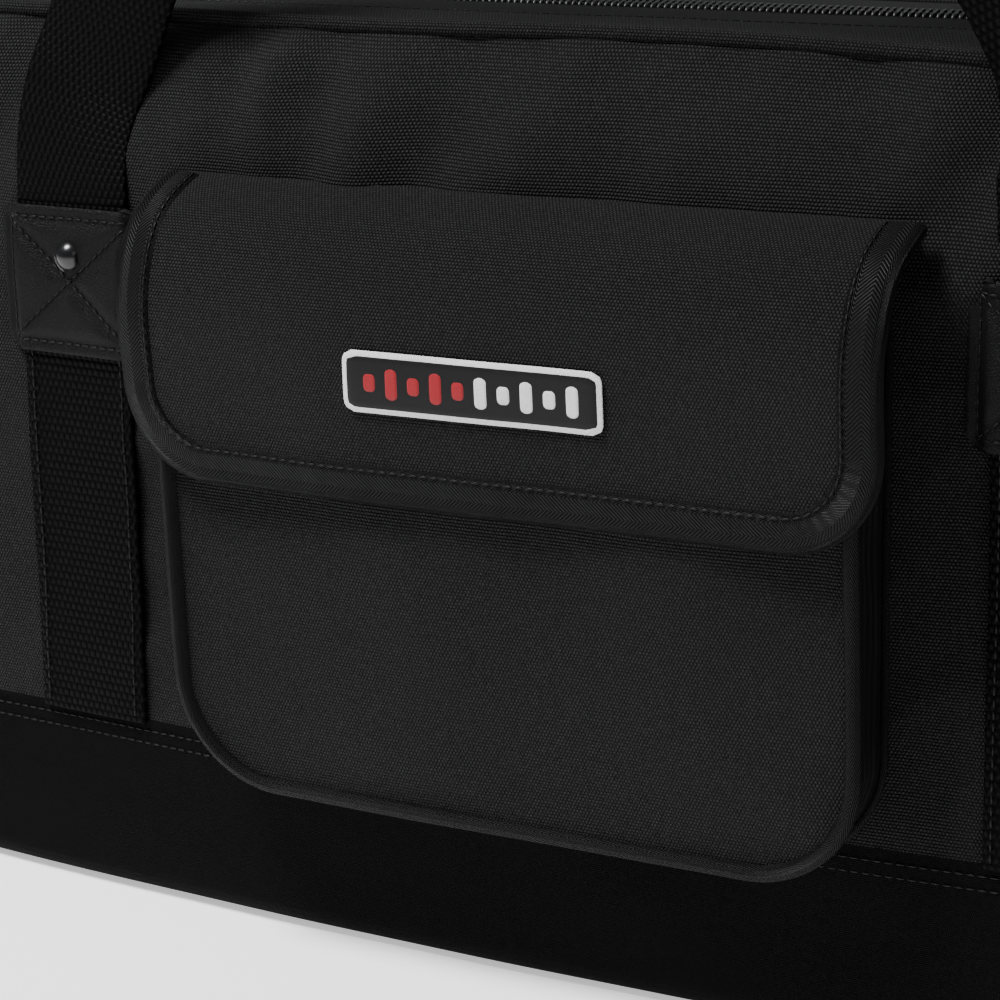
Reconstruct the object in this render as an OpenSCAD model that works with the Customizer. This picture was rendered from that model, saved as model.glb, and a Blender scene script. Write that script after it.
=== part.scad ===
// Drum stick bag: a soft zipped carry bag with a flap pocket on its front.
// X runs along the bag, the front with the pocket faces -Y, +Z is up.
// The origin is the centre of the underside, on the surface the bag stands on.

/* [Bag] */
// Length between the end panels
bag_length = 608; // [480:1:760]
// Height of the flat top above the floor
bag_height = 255; // [205:1:320]
// Depth of the bag at its middle, just above the floor
bag_depth = 150; // [120:1:200]
// Depth of the flat top, between the two piped edges
top_depth = 84; // [66:1:110]
// How far the front and the back swell out between the ends
side_swell = 18; // [8:1:30]
// Height of the reinforced lower band
band_height = 55; // [40:1:80]
// Thickness of the outer cloth
cloth_t = 1.5; // [1:0.1:2.5]
// Thickness of the foam behind the cloth
foam_t = 4.8; // [2:0.1:8]
// Diameter of the piping cord on the bag's edges
piping_d = 4.4; // [3:0.1:6]

/* [Carry webbing] */
// Width of the carry webbing
web_w = 38; // [25:1:50]
// Thickness of the carry webbing
web_t = 2.4; // [1.5:0.1:3]
// Distance between the two webbing runs on one face
web_span = 294; // [250:1:360]
// Width of a reinforcing patch over the webbing
patch_w = 50; // [40:1:62]
// Height of a reinforcing patch
patch_h = 42; // [32:1:60]
// Height of the top edge of the patches above the floor
patch_top = 203; // [170:1:215]
// Diameter of the domed rivet in each patch
rivet_d = 9; // [6:0.5:12]
// Length of the straight leaning part of a handle leg
leg_straight = 96; // [60:1:140]
// Lean of the handle legs towards each other, in degrees
leg_lean = 25; // [15:1:35]

/* [Zip] */
// Length of the zipped mouth
mouth_length = 524; // [380:1:640]
// Width of one side of the zip tape
tape_w = 18; // [12:1:24]
// Diameter of one zip coil
coil_d = 3.2; // [2.4:0.1:4.2]
// Length of the zip slider
slider_l = 13; // [9:0.5:18]
// Length of the slider's pull tab
pull_l = 27; // [18:1:27]

/* [Pocket] */
// Width of the pocket
pocket_w = 206; // [170:1:216]
// Height of the bottom of the pocket above the floor
pocket_bottom = 48; // [36:1:60]
// How far the pocket stands out from the bag
pocket_out = 14; // [10:0.5:30]
// Radius of the pocket's bottom corners
pocket_r = 32; // [20:1:45]
// Diameter of the pocket's piping
pocket_piping_d = 4.2; // [3:0.1:5]
// Width of the flap
flap_w = 223; // [190:1:236]
// Height of the fold where the flap starts
flap_top = 214; // [200:1:220]
// How far the flap hangs down from its fold
flap_drop = 77; // [64:1:100]
// Width of the tape that binds the flap's edge
bind_w = 10; // [6:0.5:14]
// Width of the woven label on the flap
label_w = 75; // [50:1:100]
// Height of the woven label
label_h = 16; // [10:1:30]

/* [Rings] */
// Inner width of the D-rings at the ends
ring_w = 26; // [20:1:40]
// Thickness of the D-ring wire
ring_wire = 4; // [3:0.5:5]
// Height of the D-rings' straight bar
ring_z = 214; // [150:1:220]

/* [Hidden] */
$fn = 48;
big = 900;
hl = bag_length/2;
hd = bag_depth/2;
ht = top_depth/2;
swell_r = (hl*hl + side_swell*side_swell)/(2*side_swell);
lean = 2.6;
// the shoulder: two flat slopes between the upright side and the flat top
sh_z1 = bag_height - 55;
sh_z2 = bag_height - 23;
sh_y1 = hd - 5.5;
sh_y2 = ht + 18;
sh_k1 = (sh_y1 - sh_y2)/(sh_z2 - sh_z1);
sh_k2 = (sh_y2 - ht)/(bag_height - sh_z2);
lining_in = cloth_t + foam_t + 0.2;
lining_t = 1;
floor_t = 4.6;
gap = 0.1;
wx = web_span/2;
// half depth of the upright side at a height and a place along the bag
function side_y(z, x) = hd - max(0, z - band_height)*tan(lean) - x*x/(2*swell_r);
pipe_z = bag_height - 0.3;
pipe_r = piping_d/2;
strip_t = 1.5;
strip_y = ht - pipe_r - 0.45 - strip_t/2;
strip_z = bag_height - 0.25;
zip_gap = 0.6;
coil_y = zip_gap + coil_d/2;
tape_in = coil_y + coil_d/2 + 0.1;
tape_t = 0.6;
zip_end_l = 27;
slider_x = mouth_length/2 + 1 + zip_end_l/2;
slide_z = strip_z;
plate_t = 1.2;
plate_z = coil_d/2 + 0.4;
pull_z = slide_z + plate_z + plate_t + 1.9;
pin_r = 0.9;
pocket_y = hd + pocket_out;
flap_out = pocket_y + 4.5;
flap_t = 2.4;
flap_low = flap_top - flap_drop;
flap_hy = side_y(flap_top, 0) + 1.9;
mouth_z = flap_top - 42;
hinge_z = patch_top + 3.2;
hinge_y = side_y(hinge_z, wx) + 2.6;
leg_y = ht + 15.5;
leg_r1 = 60;
leg_r2 = 45;
arc_z = hinge_z + 8;
lean_x = wx - leg_r1*(1 - cos(leg_lean));
lean_z = arc_z + leg_r1*sin(leg_lean);
top_x = lean_x - leg_straight*sin(leg_lean) - leg_r2*cos(leg_lean);
top_z = lean_z + leg_straight*cos(leg_lean) - leg_r2*sin(leg_lean);
grip_z = top_z + leg_r2;
ring_x = hl + 6.5;

// ---- shared shapes ----

module box(lo, hi) {
  translate(lo) cube([hi[0] - lo[0], hi[1] - lo[1], hi[2] - lo[2]]);
}

// the plan of one swelling face, moved inwards and closed far behind
module swell_plan(inset) {
  r = swell_r - inset;
  far = asin((hl + 14)/swell_r);
  front = [for (i = [-9:9]) [r*sin(i*far/9), inset - hd + r*(1 - cos(i*far/9))]];
  polygon(concat(front, [[hl + 20, 180], [-hl - 20, 180]]));
}

// one swelling face of the bag: upright in the band, leaning back above it
module swell(inset) {
  intersection() {
    translate([0, 0, -60]) linear_extrude(height = 460) swell_plan(inset);
    translate([0, -hd, band_height]) rotate([-lean, 0, 0]) translate([0, hd, -400])
      linear_extrude(height = 800) swell_plan(inset);
  }
}

// the shoulder outline across the bag, moved inwards
module shoulder(inset) {
  a = inset*sqrt(1 + sh_k1*sh_k1);
  b = inset*sqrt(1 + sh_k2*sh_k2);
  y1 = sh_y1 - a;
  y2 = sh_y2 - b;
  zc = (y2 - y1 + sh_k2*sh_z2 - sh_k1*sh_z1)/(sh_k2 - sh_k1);
  yc = y1 - sh_k1*(zc - sh_z1);
  wide = hd + 20;
  zw = sh_z1 - (wide - y1)/sh_k1;
  yt = y2 - sh_k2*(bag_height - inset - sh_z2);
  rotate([90, 0, 90]) linear_extrude(height = big, center = true)
    polygon([[-wide, -20], [wide, -20], [wide, zw], [yc, zc], [yt, bag_height - inset],
      [-yt, bag_height - inset], [-yc, zc], [-wide, zw]]);
}

// the whole outline of the bag, moved inwards
module body(inset) {
  intersection() {
    swell(inset);
    mirror([0, 1, 0]) swell(inset);
    shoulder(inset);
  }
}

module skin(from, to) {
  difference() {
    body(from);
    body(to);
  }
}

module rear() {
  mirror([0, 1, 0]) children();
}

module left() {
  mirror([1, 0, 0]) children();
}

// ---- shell of the bag ----

module base_panel() {
  color("#17171a") intersection() {
    body(0);
    box([-hl + 3.5, -big, 0], [hl - 3.5, big, cloth_t]);
  }
}

module bottom_board() {
  color("#202022") intersection() {
    body(lining_in - 1);
    box([-hl + 10, -big, cloth_t + gap], [hl - 10, big, floor_t + gap]);
  }
}

module band_piece() {
  intersection() {
    skin(0, cloth_t);
    box([-hl + 3.5, -big, cloth_t + gap], [hl - 3.5, -20, band_height - gap]);
  }
}

module lower_band_front() {
  color("#121214") band_piece();
}

module lower_band_rear() {
  color("#121214") rear() band_piece();
}

module side_panel() {
  difference() {
    intersection() {
      skin(0, cloth_t);
      box([-hl + 3.5, -big, band_height], [hl - 3.5, -ht + 4, bag_height - 1.6]);
    }
    pipe_room();
  }
}

module pipe_room() {
  translate([0, -ht, pipe_z]) rotate([0, 90, 0])
    cylinder(r = pipe_r + gap, h = big, center = true);
}

module front_panel() {
  color("#1b1b1e") side_panel();
}

module rear_panel() {
  color("#1b1b1e") rear() side_panel();
}

module end_piece() {
  intersection() {
    body(2.4);
    box([hl - cloth_t - 1.6, -big, 3.6], [hl - 1.6, big, bag_height]);
  }
}

module end_panel_right() {
  color("#1b1b1e") end_piece();
}

module end_panel_left() {
  color("#1b1b1e") left() end_piece();
}

module foam_piece() {
  intersection() {
    skin(cloth_t + gap, cloth_t + gap + foam_t);
    box([-hl + 12, -big, floor_t + 0.5], [hl - 12, -ht + 8, bag_height - 8]);
  }
}

module foam_front() {
  color("#2b2b2e") foam_piece();
}

module foam_rear() {
  color("#2b2b2e") rear() foam_piece();
}

module lining() {
  color("#26262a") difference() {
    intersection() {
      body(lining_in);
      box([-hl + 8, -big, floor_t + 0.3], [hl - 8, big, bag_height - 12]);
    }
    intersection() {
      body(lining_in + lining_t);
      box([-hl + 9, -big, floor_t + 1.3], [hl - 9, big, bag_height]);
    }
  }
}

// the fixed cloth at each end of the mouth, slotted for the end of the zip
module top_end_piece() {
  y = ht - pipe_r - 0.4;
  difference() {
    box([mouth_length/2 + 1, -y, strip_z - strip_t/2], [hl - 3.6, y, strip_z + strip_t/2]);
    box([mouth_length/2, -7.5, 0], [mouth_length/2 + 2 + zip_end_l, 7.5, big]);
  }
}

module top_end_right() {
  color("#1b1b1e") top_end_piece();
}

module top_end_left() {
  color("#1b1b1e") left() top_end_piece();
}

module top_piping() {
  translate([0, -ht, pipe_z]) rotate([0, 90, 0])
    cylinder(r = pipe_r, h = bag_length - 9, center = true);
}

module piping_front() {
  color("#101012") top_piping();
}

module piping_rear() {
  color("#101012") rear() top_piping();
}

module end_ring() {
  intersection() {
    skin(-pipe_r + 0.2, 2.2);
    box([hl - 3.4, -big, 0], [hl + 0.8, big, big]);
  }
  intersection() {
    body(-pipe_r + 0.2);
    box([hl - 3.4, -big, 0], [hl + 0.8, big, 3.4]);
  }
}

module piping_right() {
  color("#101012") end_ring();
}

module piping_left() {
  color("#101012") left() end_ring();
}

// the closed end of the zip, on the fixed cloth past the mouth
module zip_end_piece() {
  for (s = [-1, 1]) {
    translate([mouth_length/2 + 1.2, s*coil_y, slide_z]) rotate([0, 90, 0])
      cylinder(d = coil_d, h = zip_end_l);
    box([mouth_length/2 + 1.2, s > 0 ? coil_y : -7.2, slide_z - tape_t/2],
      [mouth_length/2 + 1.2 + zip_end_l, s > 0 ? 7.2 : -coil_y, slide_z + tape_t/2]);
  }
  box([mouth_length/2 + zip_end_l - 0.8, -6, slide_z - 1.4],
    [mouth_length/2 + 1.2 + zip_end_l, 6, slide_z + 1.4]);
}

module zip_end_right() {
  color("#0e0e10") zip_end_piece();
}

module zip_end_left() {
  color("#0e0e10") left() zip_end_piece();
}

// ---- webbing, patches and rivets ----

module strap_piece() {
  intersection() {
    skin(-web_t - gap, -gap);
    box([wx - web_w/2, -big, band_height - 6], [wx + web_w/2, -ht, patch_top - 0.5]);
  }
}

module patch_piece() {
  intersection() {
    skin(-web_t - 1.9, -web_t - 0.2);
    box([wx - patch_w/2, -big, patch_top - patch_h], [wx + patch_w/2, -ht, patch_top]);
    translate([wx, 0, patch_top - patch_h/2]) rotate([90, 0, 0])
      linear_extrude(height = big, center = true) round_rect(patch_w, patch_h, 4);
  }
}

module round_rect(w, h, r) {
  square([w - 2*r, h], center = true);
  square([w, h - 2*r], center = true);
  for (x = [-1, 1], y = [-1, 1]) translate([x*(w/2 - r), y*(h/2 - r)]) circle(r = r);
}

module rivet_piece() {
  z = patch_top - patch_h*0.33;
  y = side_y(z, wx) + web_t + 2.25;
  translate([wx, -y, z]) rotate([90, 0, 0]) intersection() {
    translate([0, 0, -rivet_d*0.2]) sphere(d = rivet_d*1.08);
    translate([0, 0, 0.1]) cylinder(d = rivet_d, h = rivet_d);
  }
}

module strap_front_right() {
  color("#141416") strap_piece();
}

module strap_front_left() {
  color("#141416") left() strap_piece();
}

module strap_rear_right() {
  color("#141416") rear() strap_piece();
}

module strap_rear_left() {
  color("#141416") rear() left() strap_piece();
}

module patch_front_right() {
  color("#222225") patch_piece();
}

module patch_front_left() {
  color("#222225") left() patch_piece();
}

module patch_rear_right() {
  color("#222225") rear() patch_piece();
}

module patch_rear_left() {
  color("#222225") rear() left() patch_piece();
}

module rivet_front_right() {
  color("#3a3a3d") rivet_piece();
}

module rivet_front_left() {
  color("#3a3a3d") left() rivet_piece();
}

module rivet_rear_right() {
  color("#3a3a3d") rear() rivet_piece();
}

module rivet_rear_left() {
  color("#3a3a3d") rear() left() rivet_piece();
}

// ---- pocket ----

// the pocket's outline seen from the front, moved inwards
module pocket_outline(inset) {
  w = pocket_w/2 - inset;
  r = pocket_r - inset;
  b = pocket_bottom + inset;
  translate([-w, b + r]) square([2*w, flap_top - b - r]);
  translate([-w + r, b]) square([2*w - 2*r, r + 1]);
  for (s = [-1, 1]) translate([s*(w - r), b + r]) circle(r = r);
}

module outline_block(inset, y0, y1) {
  translate([0, -y0, 0]) rotate([90, 0, 0]) linear_extrude(height = y1 - y0)
    pocket_outline(inset);
}

// the sloping cut that leaves the pocket's mouth open under the flap
module mouth_cut() {
  rotate([90, 0, 90]) linear_extrude(height = big, center = true)
    polygon([[-hd + 20, flap_top - 9], [-hd + 2, flap_top - 16], [-pocket_y, mouth_z],
      [-pocket_y - 40, mouth_z], [-pocket_y - 40, big], [-hd + 20, big]]);
}

module pocket_gusset() {
  color("#151518") difference() {
    outline_block(1.2, hd - 20, pocket_y - 1.8);
    outline_block(2.7, hd - 21, pocket_y);
    body(-gap);
    mouth_cut();
  }
}

module pocket_front() {
  color("#1c1c1f") difference() {
    outline_block(pocket_piping_d - 0.5, pocket_y - cloth_t, pocket_y);
    mouth_cut();
  }
}

module pocket_piping() {
  color("#101012") difference() {
    outline_block(0, pocket_y - pocket_piping_d/2 + 0.4, pocket_y + pocket_piping_d/2 + 0.1);
    outline_block(pocket_piping_d - 0.6, 0, big);
    mouth_cut();
  }
}

module pocket_loop_tape() {
  color("#0d0d0f") box([-60, -pocket_y - 0.9, flap_low + bind_w],
    [60, -pocket_y - 0.05, flap_low + bind_w + 21]);
}

// ---- D-ring tabs and rings ----

module ring_tab_piece() {
  w = ring_w/2 - 1;
  z = ring_z;
  difference() {
    union() {
      translate([ring_x, 0, z]) rotate([90, 0, 0])
        cylinder(r = ring_wire/2 + 2.1, h = 2*w, center = true);
      box([hl - 1.5, -w, z - ring_wire/2 - 2.1], [ring_x, w, z + ring_wire/2 + 2.1]);
    }
    translate([ring_x, 0, z]) rotate([90, 0, 0])
      cylinder(r = ring_wire/2 + 0.3, h = 3*w, center = true);
    box([hl + 0.6, -big, z - 1], [ring_x, big, z + 1]);
  }
  box([hl - 1.5, -w, z - 32], [hl + 0.6, w, z + 10]);
}

module ring_tab_right() {
  color("#141416") ring_tab_piece();
}

module ring_tab_left() {
  color("#141416") left() ring_tab_piece();
}

module ring_piece() {
  r = ring_w/2 + ring_wire/2;
  translate([ring_x, 0, ring_z]) {
    rotate([90, 0, 0]) cylinder(d = ring_wire, h = 2*r, center = true);
    rotate([90, 0, 90]) rotate([0, 0, 180]) rotate_extrude(angle = 180)
      translate([r, 0]) circle(d = ring_wire);
    for (s = [-1, 1]) translate([0, s*r, 0]) sphere(d = ring_wire);
  }
}

module ring_right() {
  color("#5a5a5e") ring_piece();
}

module ring_left() {
  color("#5a5a5e") left() ring_piece();
}

// ---- the two sides of the zipped mouth ----

module strip_piece() {
  box([-mouth_length/2, -strip_y, strip_z - strip_t/2],
    [mouth_length/2, -tape_in - tape_w, strip_z + strip_t/2]);
  translate([0, -strip_y, strip_z]) rotate([0, 90, 0])
    cylinder(d = strip_t, h = mouth_length, center = true);
}

module tape_piece() {
  box([-mouth_length/2, -tape_in - tape_w + 0.1, strip_z - tape_t/2],
    [mouth_length/2, -tape_in + 0.1, strip_z + tape_t/2]);
}

module coil_piece() {
  translate([0, -coil_y, strip_z]) rotate([0, 90, 0])
    cylinder(d = coil_d, h = mouth_length, center = true);
}

module top_strip_front() {
  color("#1b1b1e") strip_piece();
}

module top_strip_rear() {
  color("#1b1b1e") rear() strip_piece();
}

module zip_tape_front() {
  color("#151518") tape_piece();
}

module zip_tape_rear() {
  color("#151518") rear() tape_piece();
}

module zip_coil_front() {
  color("#0e0e10") coil_piece();
}

module zip_coil_rear() {
  color("#0e0e10") rear() coil_piece();
}

// two plates over and under the coils, a thin neck between them and a bail on top
module slider_body() {
  w = coil_y + coil_d/2 + 1.2;
  color("#46464a") translate([slider_x, 0, slide_z]) {
    for (z = [plate_z, -plate_z - plate_t]) translate([0, 0, z])
      linear_extrude(height = plate_t) round_rect(slider_l, 2*w, 2);
    box([-2, -zip_gap/2, -plate_z - 0.2], [2, zip_gap/2, plate_z + 0.2]);
    difference() {
      box([-3, -1.6, plate_z + plate_t - 0.2], [3, 1.6, plate_z + plate_t + 4.2]);
      translate([0, 0, pull_z - slide_z]) rotate([90, 0, 0])
        cylinder(r = pin_r + 0.3, h = 20, center = true);
    }
  }
}

module slider_pull() {
  color("#2a2a2d") translate([slider_x, 0, pull_z]) {
    rotate([90, 0, 0]) cylinder(r = pin_r, h = 7.4, center = true);
    for (s = [-1, 1]) box([0, s > 0 ? 2.1 : -3.7, -0.8], [7, s > 0 ? 3.7 : -2.1, 0.8]);
    box([4.5, -3.7, -0.8], [pull_l, 3.7, 0.8]);
  }
}

// ---- flap ----

// the flap's outline seen from the front, moved inwards
module flap_outline(inset) {
  w = flap_w/2 - inset;
  r = 27 - inset;
  b = flap_low + inset;
  translate([-w, b + r]) square([2*w, flap_drop]);
  translate([-w + r, b]) square([2*w - 2*r, r + 1]);
  for (s = [-1, 1]) translate([s*(w - r), b + r]) circle(r = r);
}

// the bent sheet of the flap from its fold over the pocket's mouth, seen from the end
module flap_sheet(t) {
  h = t/2;
  z = flap_top;
  y = flap_hy;
  o = flap_out;
  rotate([90, 0, 90]) linear_extrude(height = big, center = true) {
    polygon([[-y, z + h], [-y - 6, z + h], [-o + 9, z - 6 + h], [-o - h, z - 26], [-o - h, z - 140],
      [-o + h, z - 140], [-o + h, z - 26], [-o + 9 + t, z - 6 - h], [-y - 6, z - h], [-y, z - h]]);
    translate([-y, z]) circle(r = h);
  }
}

module flap_front_cut(inset) {
  rotate([90, 0, 0]) linear_extrude(height = big, center = true) flap_outline(inset);
}

module flap_shell() {
  color("#1c1c1f") intersection() {
    flap_sheet(flap_t);
    flap_front_cut(bind_w);
  }
}

module flap_binding() {
  color("#101012") intersection() {
    flap_sheet(flap_t + 0.8);
    difference() {
      flap_front_cut(0);
      flap_front_cut(bind_w - 0.1);
    }
  }
}

module flap_label() {
  y = flap_out + flap_t/2 + gap;
  color("#d8d8d4") translate([0, -y, flap_top - 43]) rotate([90, 0, 0])
    linear_extrude(height = 1) round_rect(label_w, label_h, 2);
}

module flap_hook_tape() {
  y = flap_out - flap_t/2 - gap;
  color("#0d0d0f") box([-60, -y, flap_low + bind_w + 1.5], [60, -y + 0.8, flap_low + bind_w + 19]);
}

// ---- carry handles ----

module leg_2d() {
  h = web_w/2;
  translate([wx - h, hinge_z]) square([web_w, arc_z - hinge_z]);
  translate([wx - leg_r1, arc_z]) sector(leg_r1 - h, leg_r1 + h, -1, leg_lean + 1);
  translate([lean_x, lean_z]) rotate(leg_lean) translate([-h, 0]) square([web_w, leg_straight]);
  translate([top_x, top_z]) sector(leg_r2 - h, leg_r2 + h, leg_lean - 1, 91);
  translate([-1, grip_z - h]) square([top_x + 1, web_w]);
}

module sector(r0, r1, a0, a1) {
  far = 2*r1;
  intersection() {
    difference() {
      circle(r = r1);
      circle(r = r0);
    }
    polygon([[0, 0], [far*cos(a0), far*sin(a0)], [far*cos((a0 + a1)/2), far*sin((a0 + a1)/2)],
      [far*cos(a1), far*sin(a1)]]);
  }
}

// the webbing's path over the shoulder, seen from the end
module leg_sheet() {
  h = web_t/2;
  zk = bag_height + 4;
  rotate([90, 0, 90]) linear_extrude(height = big, center = true) {
    polygon([[-hinge_y - h, hinge_z], [-hinge_y + h, hinge_z], [-hinge_y + 0.35 + h, hinge_z + 11],
      [-leg_y + h, zk], [-leg_y + h, big], [-leg_y - h, big], [-leg_y - h, zk],
      [-hinge_y + 0.35 - h, hinge_z + 11]]);
    translate([-hinge_y, hinge_z]) circle(r = h);
  }
}

module web_piece() {
  for (s = [0, 1]) mirror([s, 0, 0]) intersection() {
    leg_sheet();
    rotate([90, 0, 0]) linear_extrude(height = big, center = true) {
      leg_2d();
      translate([wx - web_w/2, hinge_z - web_t/2]) square([web_w, web_t]);
    }
  }
}

// a padded sleeve round the top of the handle
module grip_piece() {
  h = web_w/2 + 2.5;
  difference() {
    translate([0, -leg_y, grip_z]) rotate([0, 90, 0])
      linear_extrude(height = 2*top_x - 6, center = true) round_rect(2*h, 11, 5);
    box([-big/2, -leg_y - web_t/2 - gap, grip_z - web_w/2 - gap],
      [big/2, -leg_y + web_t/2 + gap, grip_z + web_w/2 + gap]);
  }
}

module handle_web_front() {
  color("#141416") web_piece();
}

module handle_web_rear() {
  color("#141416") rear() web_piece();
}

module handle_grip_front() {
  color("#222225") grip_piece();
}

module handle_grip_rear() {
  color("#222225") rear() grip_piece();
}

base_panel();
bottom_board();
lower_band_front();
lower_band_rear();
front_panel();
rear_panel();
end_panel_left();
end_panel_right();
foam_front();
foam_rear();
lining();
top_end_left();
top_end_right();
piping_front();
piping_rear();
piping_left();
piping_right();
zip_end_left();
zip_end_right();
strap_front_left();
strap_front_right();
strap_rear_left();
strap_rear_right();
patch_front_left();
patch_front_right();
patch_rear_left();
patch_rear_right();
rivet_front_left();
rivet_front_right();
rivet_rear_left();
rivet_rear_right();
pocket_gusset();
pocket_front();
pocket_piping();
pocket_loop_tape();
ring_tab_left();
ring_tab_right();
top_strip_front();
top_strip_rear();
zip_tape_front();
zip_tape_rear();
zip_coil_front();
zip_coil_rear();
slider_body();
slider_pull();
flap_shell();
flap_binding();
flap_label();
flap_hook_tape();
handle_web_front();
handle_web_rear();
handle_grip_front();
handle_grip_rear();
ring_left();
ring_right();
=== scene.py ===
"""Visual model of a soft zipped drum stick bag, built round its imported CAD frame."""

import logging
import math
from dataclasses import dataclass, field
from enum import Enum
from typing import Callable, Sequence

import bpy
from mathutils import Matrix, Vector, noise


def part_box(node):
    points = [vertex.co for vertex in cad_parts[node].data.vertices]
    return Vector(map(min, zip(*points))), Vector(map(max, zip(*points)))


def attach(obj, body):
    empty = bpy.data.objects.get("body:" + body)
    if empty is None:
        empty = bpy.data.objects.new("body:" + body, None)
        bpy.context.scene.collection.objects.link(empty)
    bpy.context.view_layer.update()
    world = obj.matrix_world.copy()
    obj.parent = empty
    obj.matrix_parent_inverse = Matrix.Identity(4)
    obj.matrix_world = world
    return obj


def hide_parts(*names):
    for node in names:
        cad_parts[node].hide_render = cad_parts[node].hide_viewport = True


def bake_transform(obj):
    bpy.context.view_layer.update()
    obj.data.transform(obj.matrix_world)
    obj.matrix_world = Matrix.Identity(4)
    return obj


LOG = logging.getLogger("stick_bag")
MM = 0.001
Place = Callable[[float, float], Vector]


class Side(Enum):
    """Which long face of the bag a piece belongs to."""

    FRONT = -1
    REAR = 1


class Hand(Enum):
    """Which end of the bag a piece is nearer to."""

    LEFT = -1
    RIGHT = 1


# ---------------------------------------------------------------- shader tools


class Wire:
    """A shader socket that takes part in Python arithmetic."""

    def __init__(self, graph: "Graph", socket: bpy.types.NodeSocket) -> None:
        """Keeps the graph and the output socket."""
        self.graph = graph
        self.socket = socket

    def maths(self, operation: str, *others: "Wire | float") -> "Wire":
        """Adds a Math node.

        Args:
            operation: the Math node's operation.
            others: the second and third operands.

        Returns:
            The node's result.
        """
        return self.graph.add("ShaderNodeMath", {"operation": operation}, [self, *others])

    def __add__(self, other: "Wire | float") -> "Wire":
        """Sum."""
        return self.maths("ADD", other)

    __radd__ = __add__

    def __sub__(self, other: "Wire | float") -> "Wire":
        """Difference."""
        return self.maths("SUBTRACT", other)

    def __rsub__(self, other: float) -> "Wire":
        """Reflected difference."""
        return self.graph.add("ShaderNodeMath", {"operation": "SUBTRACT"}, [other, self])

    def __mul__(self, other: "Wire | float") -> "Wire":
        """Product."""
        return self.maths("MULTIPLY", other)

    __rmul__ = __mul__

    def __truediv__(self, other: "Wire | float") -> "Wire":
        """Quotient."""
        return self.maths("DIVIDE", other)

    def floor(self) -> "Wire":
        """Whole part."""
        return self.maths("FLOOR")

    def fract(self) -> "Wire":
        """Part after the point."""
        return self.maths("FRACT")

    def sin(self) -> "Wire":
        """Sine, in radians."""
        return self.maths("SINE")

    def abs(self) -> "Wire":
        """Size without sign."""
        return self.maths("ABSOLUTE")

    def max(self, other: "Wire | float") -> "Wire":
        """The larger one."""
        return self.maths("MAXIMUM", other)

    def clamp(self) -> "Wire":
        """Held between 0 and 1."""
        return self.maths("MINIMUM", 1.0).maths("MAXIMUM", 0.0)


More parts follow.
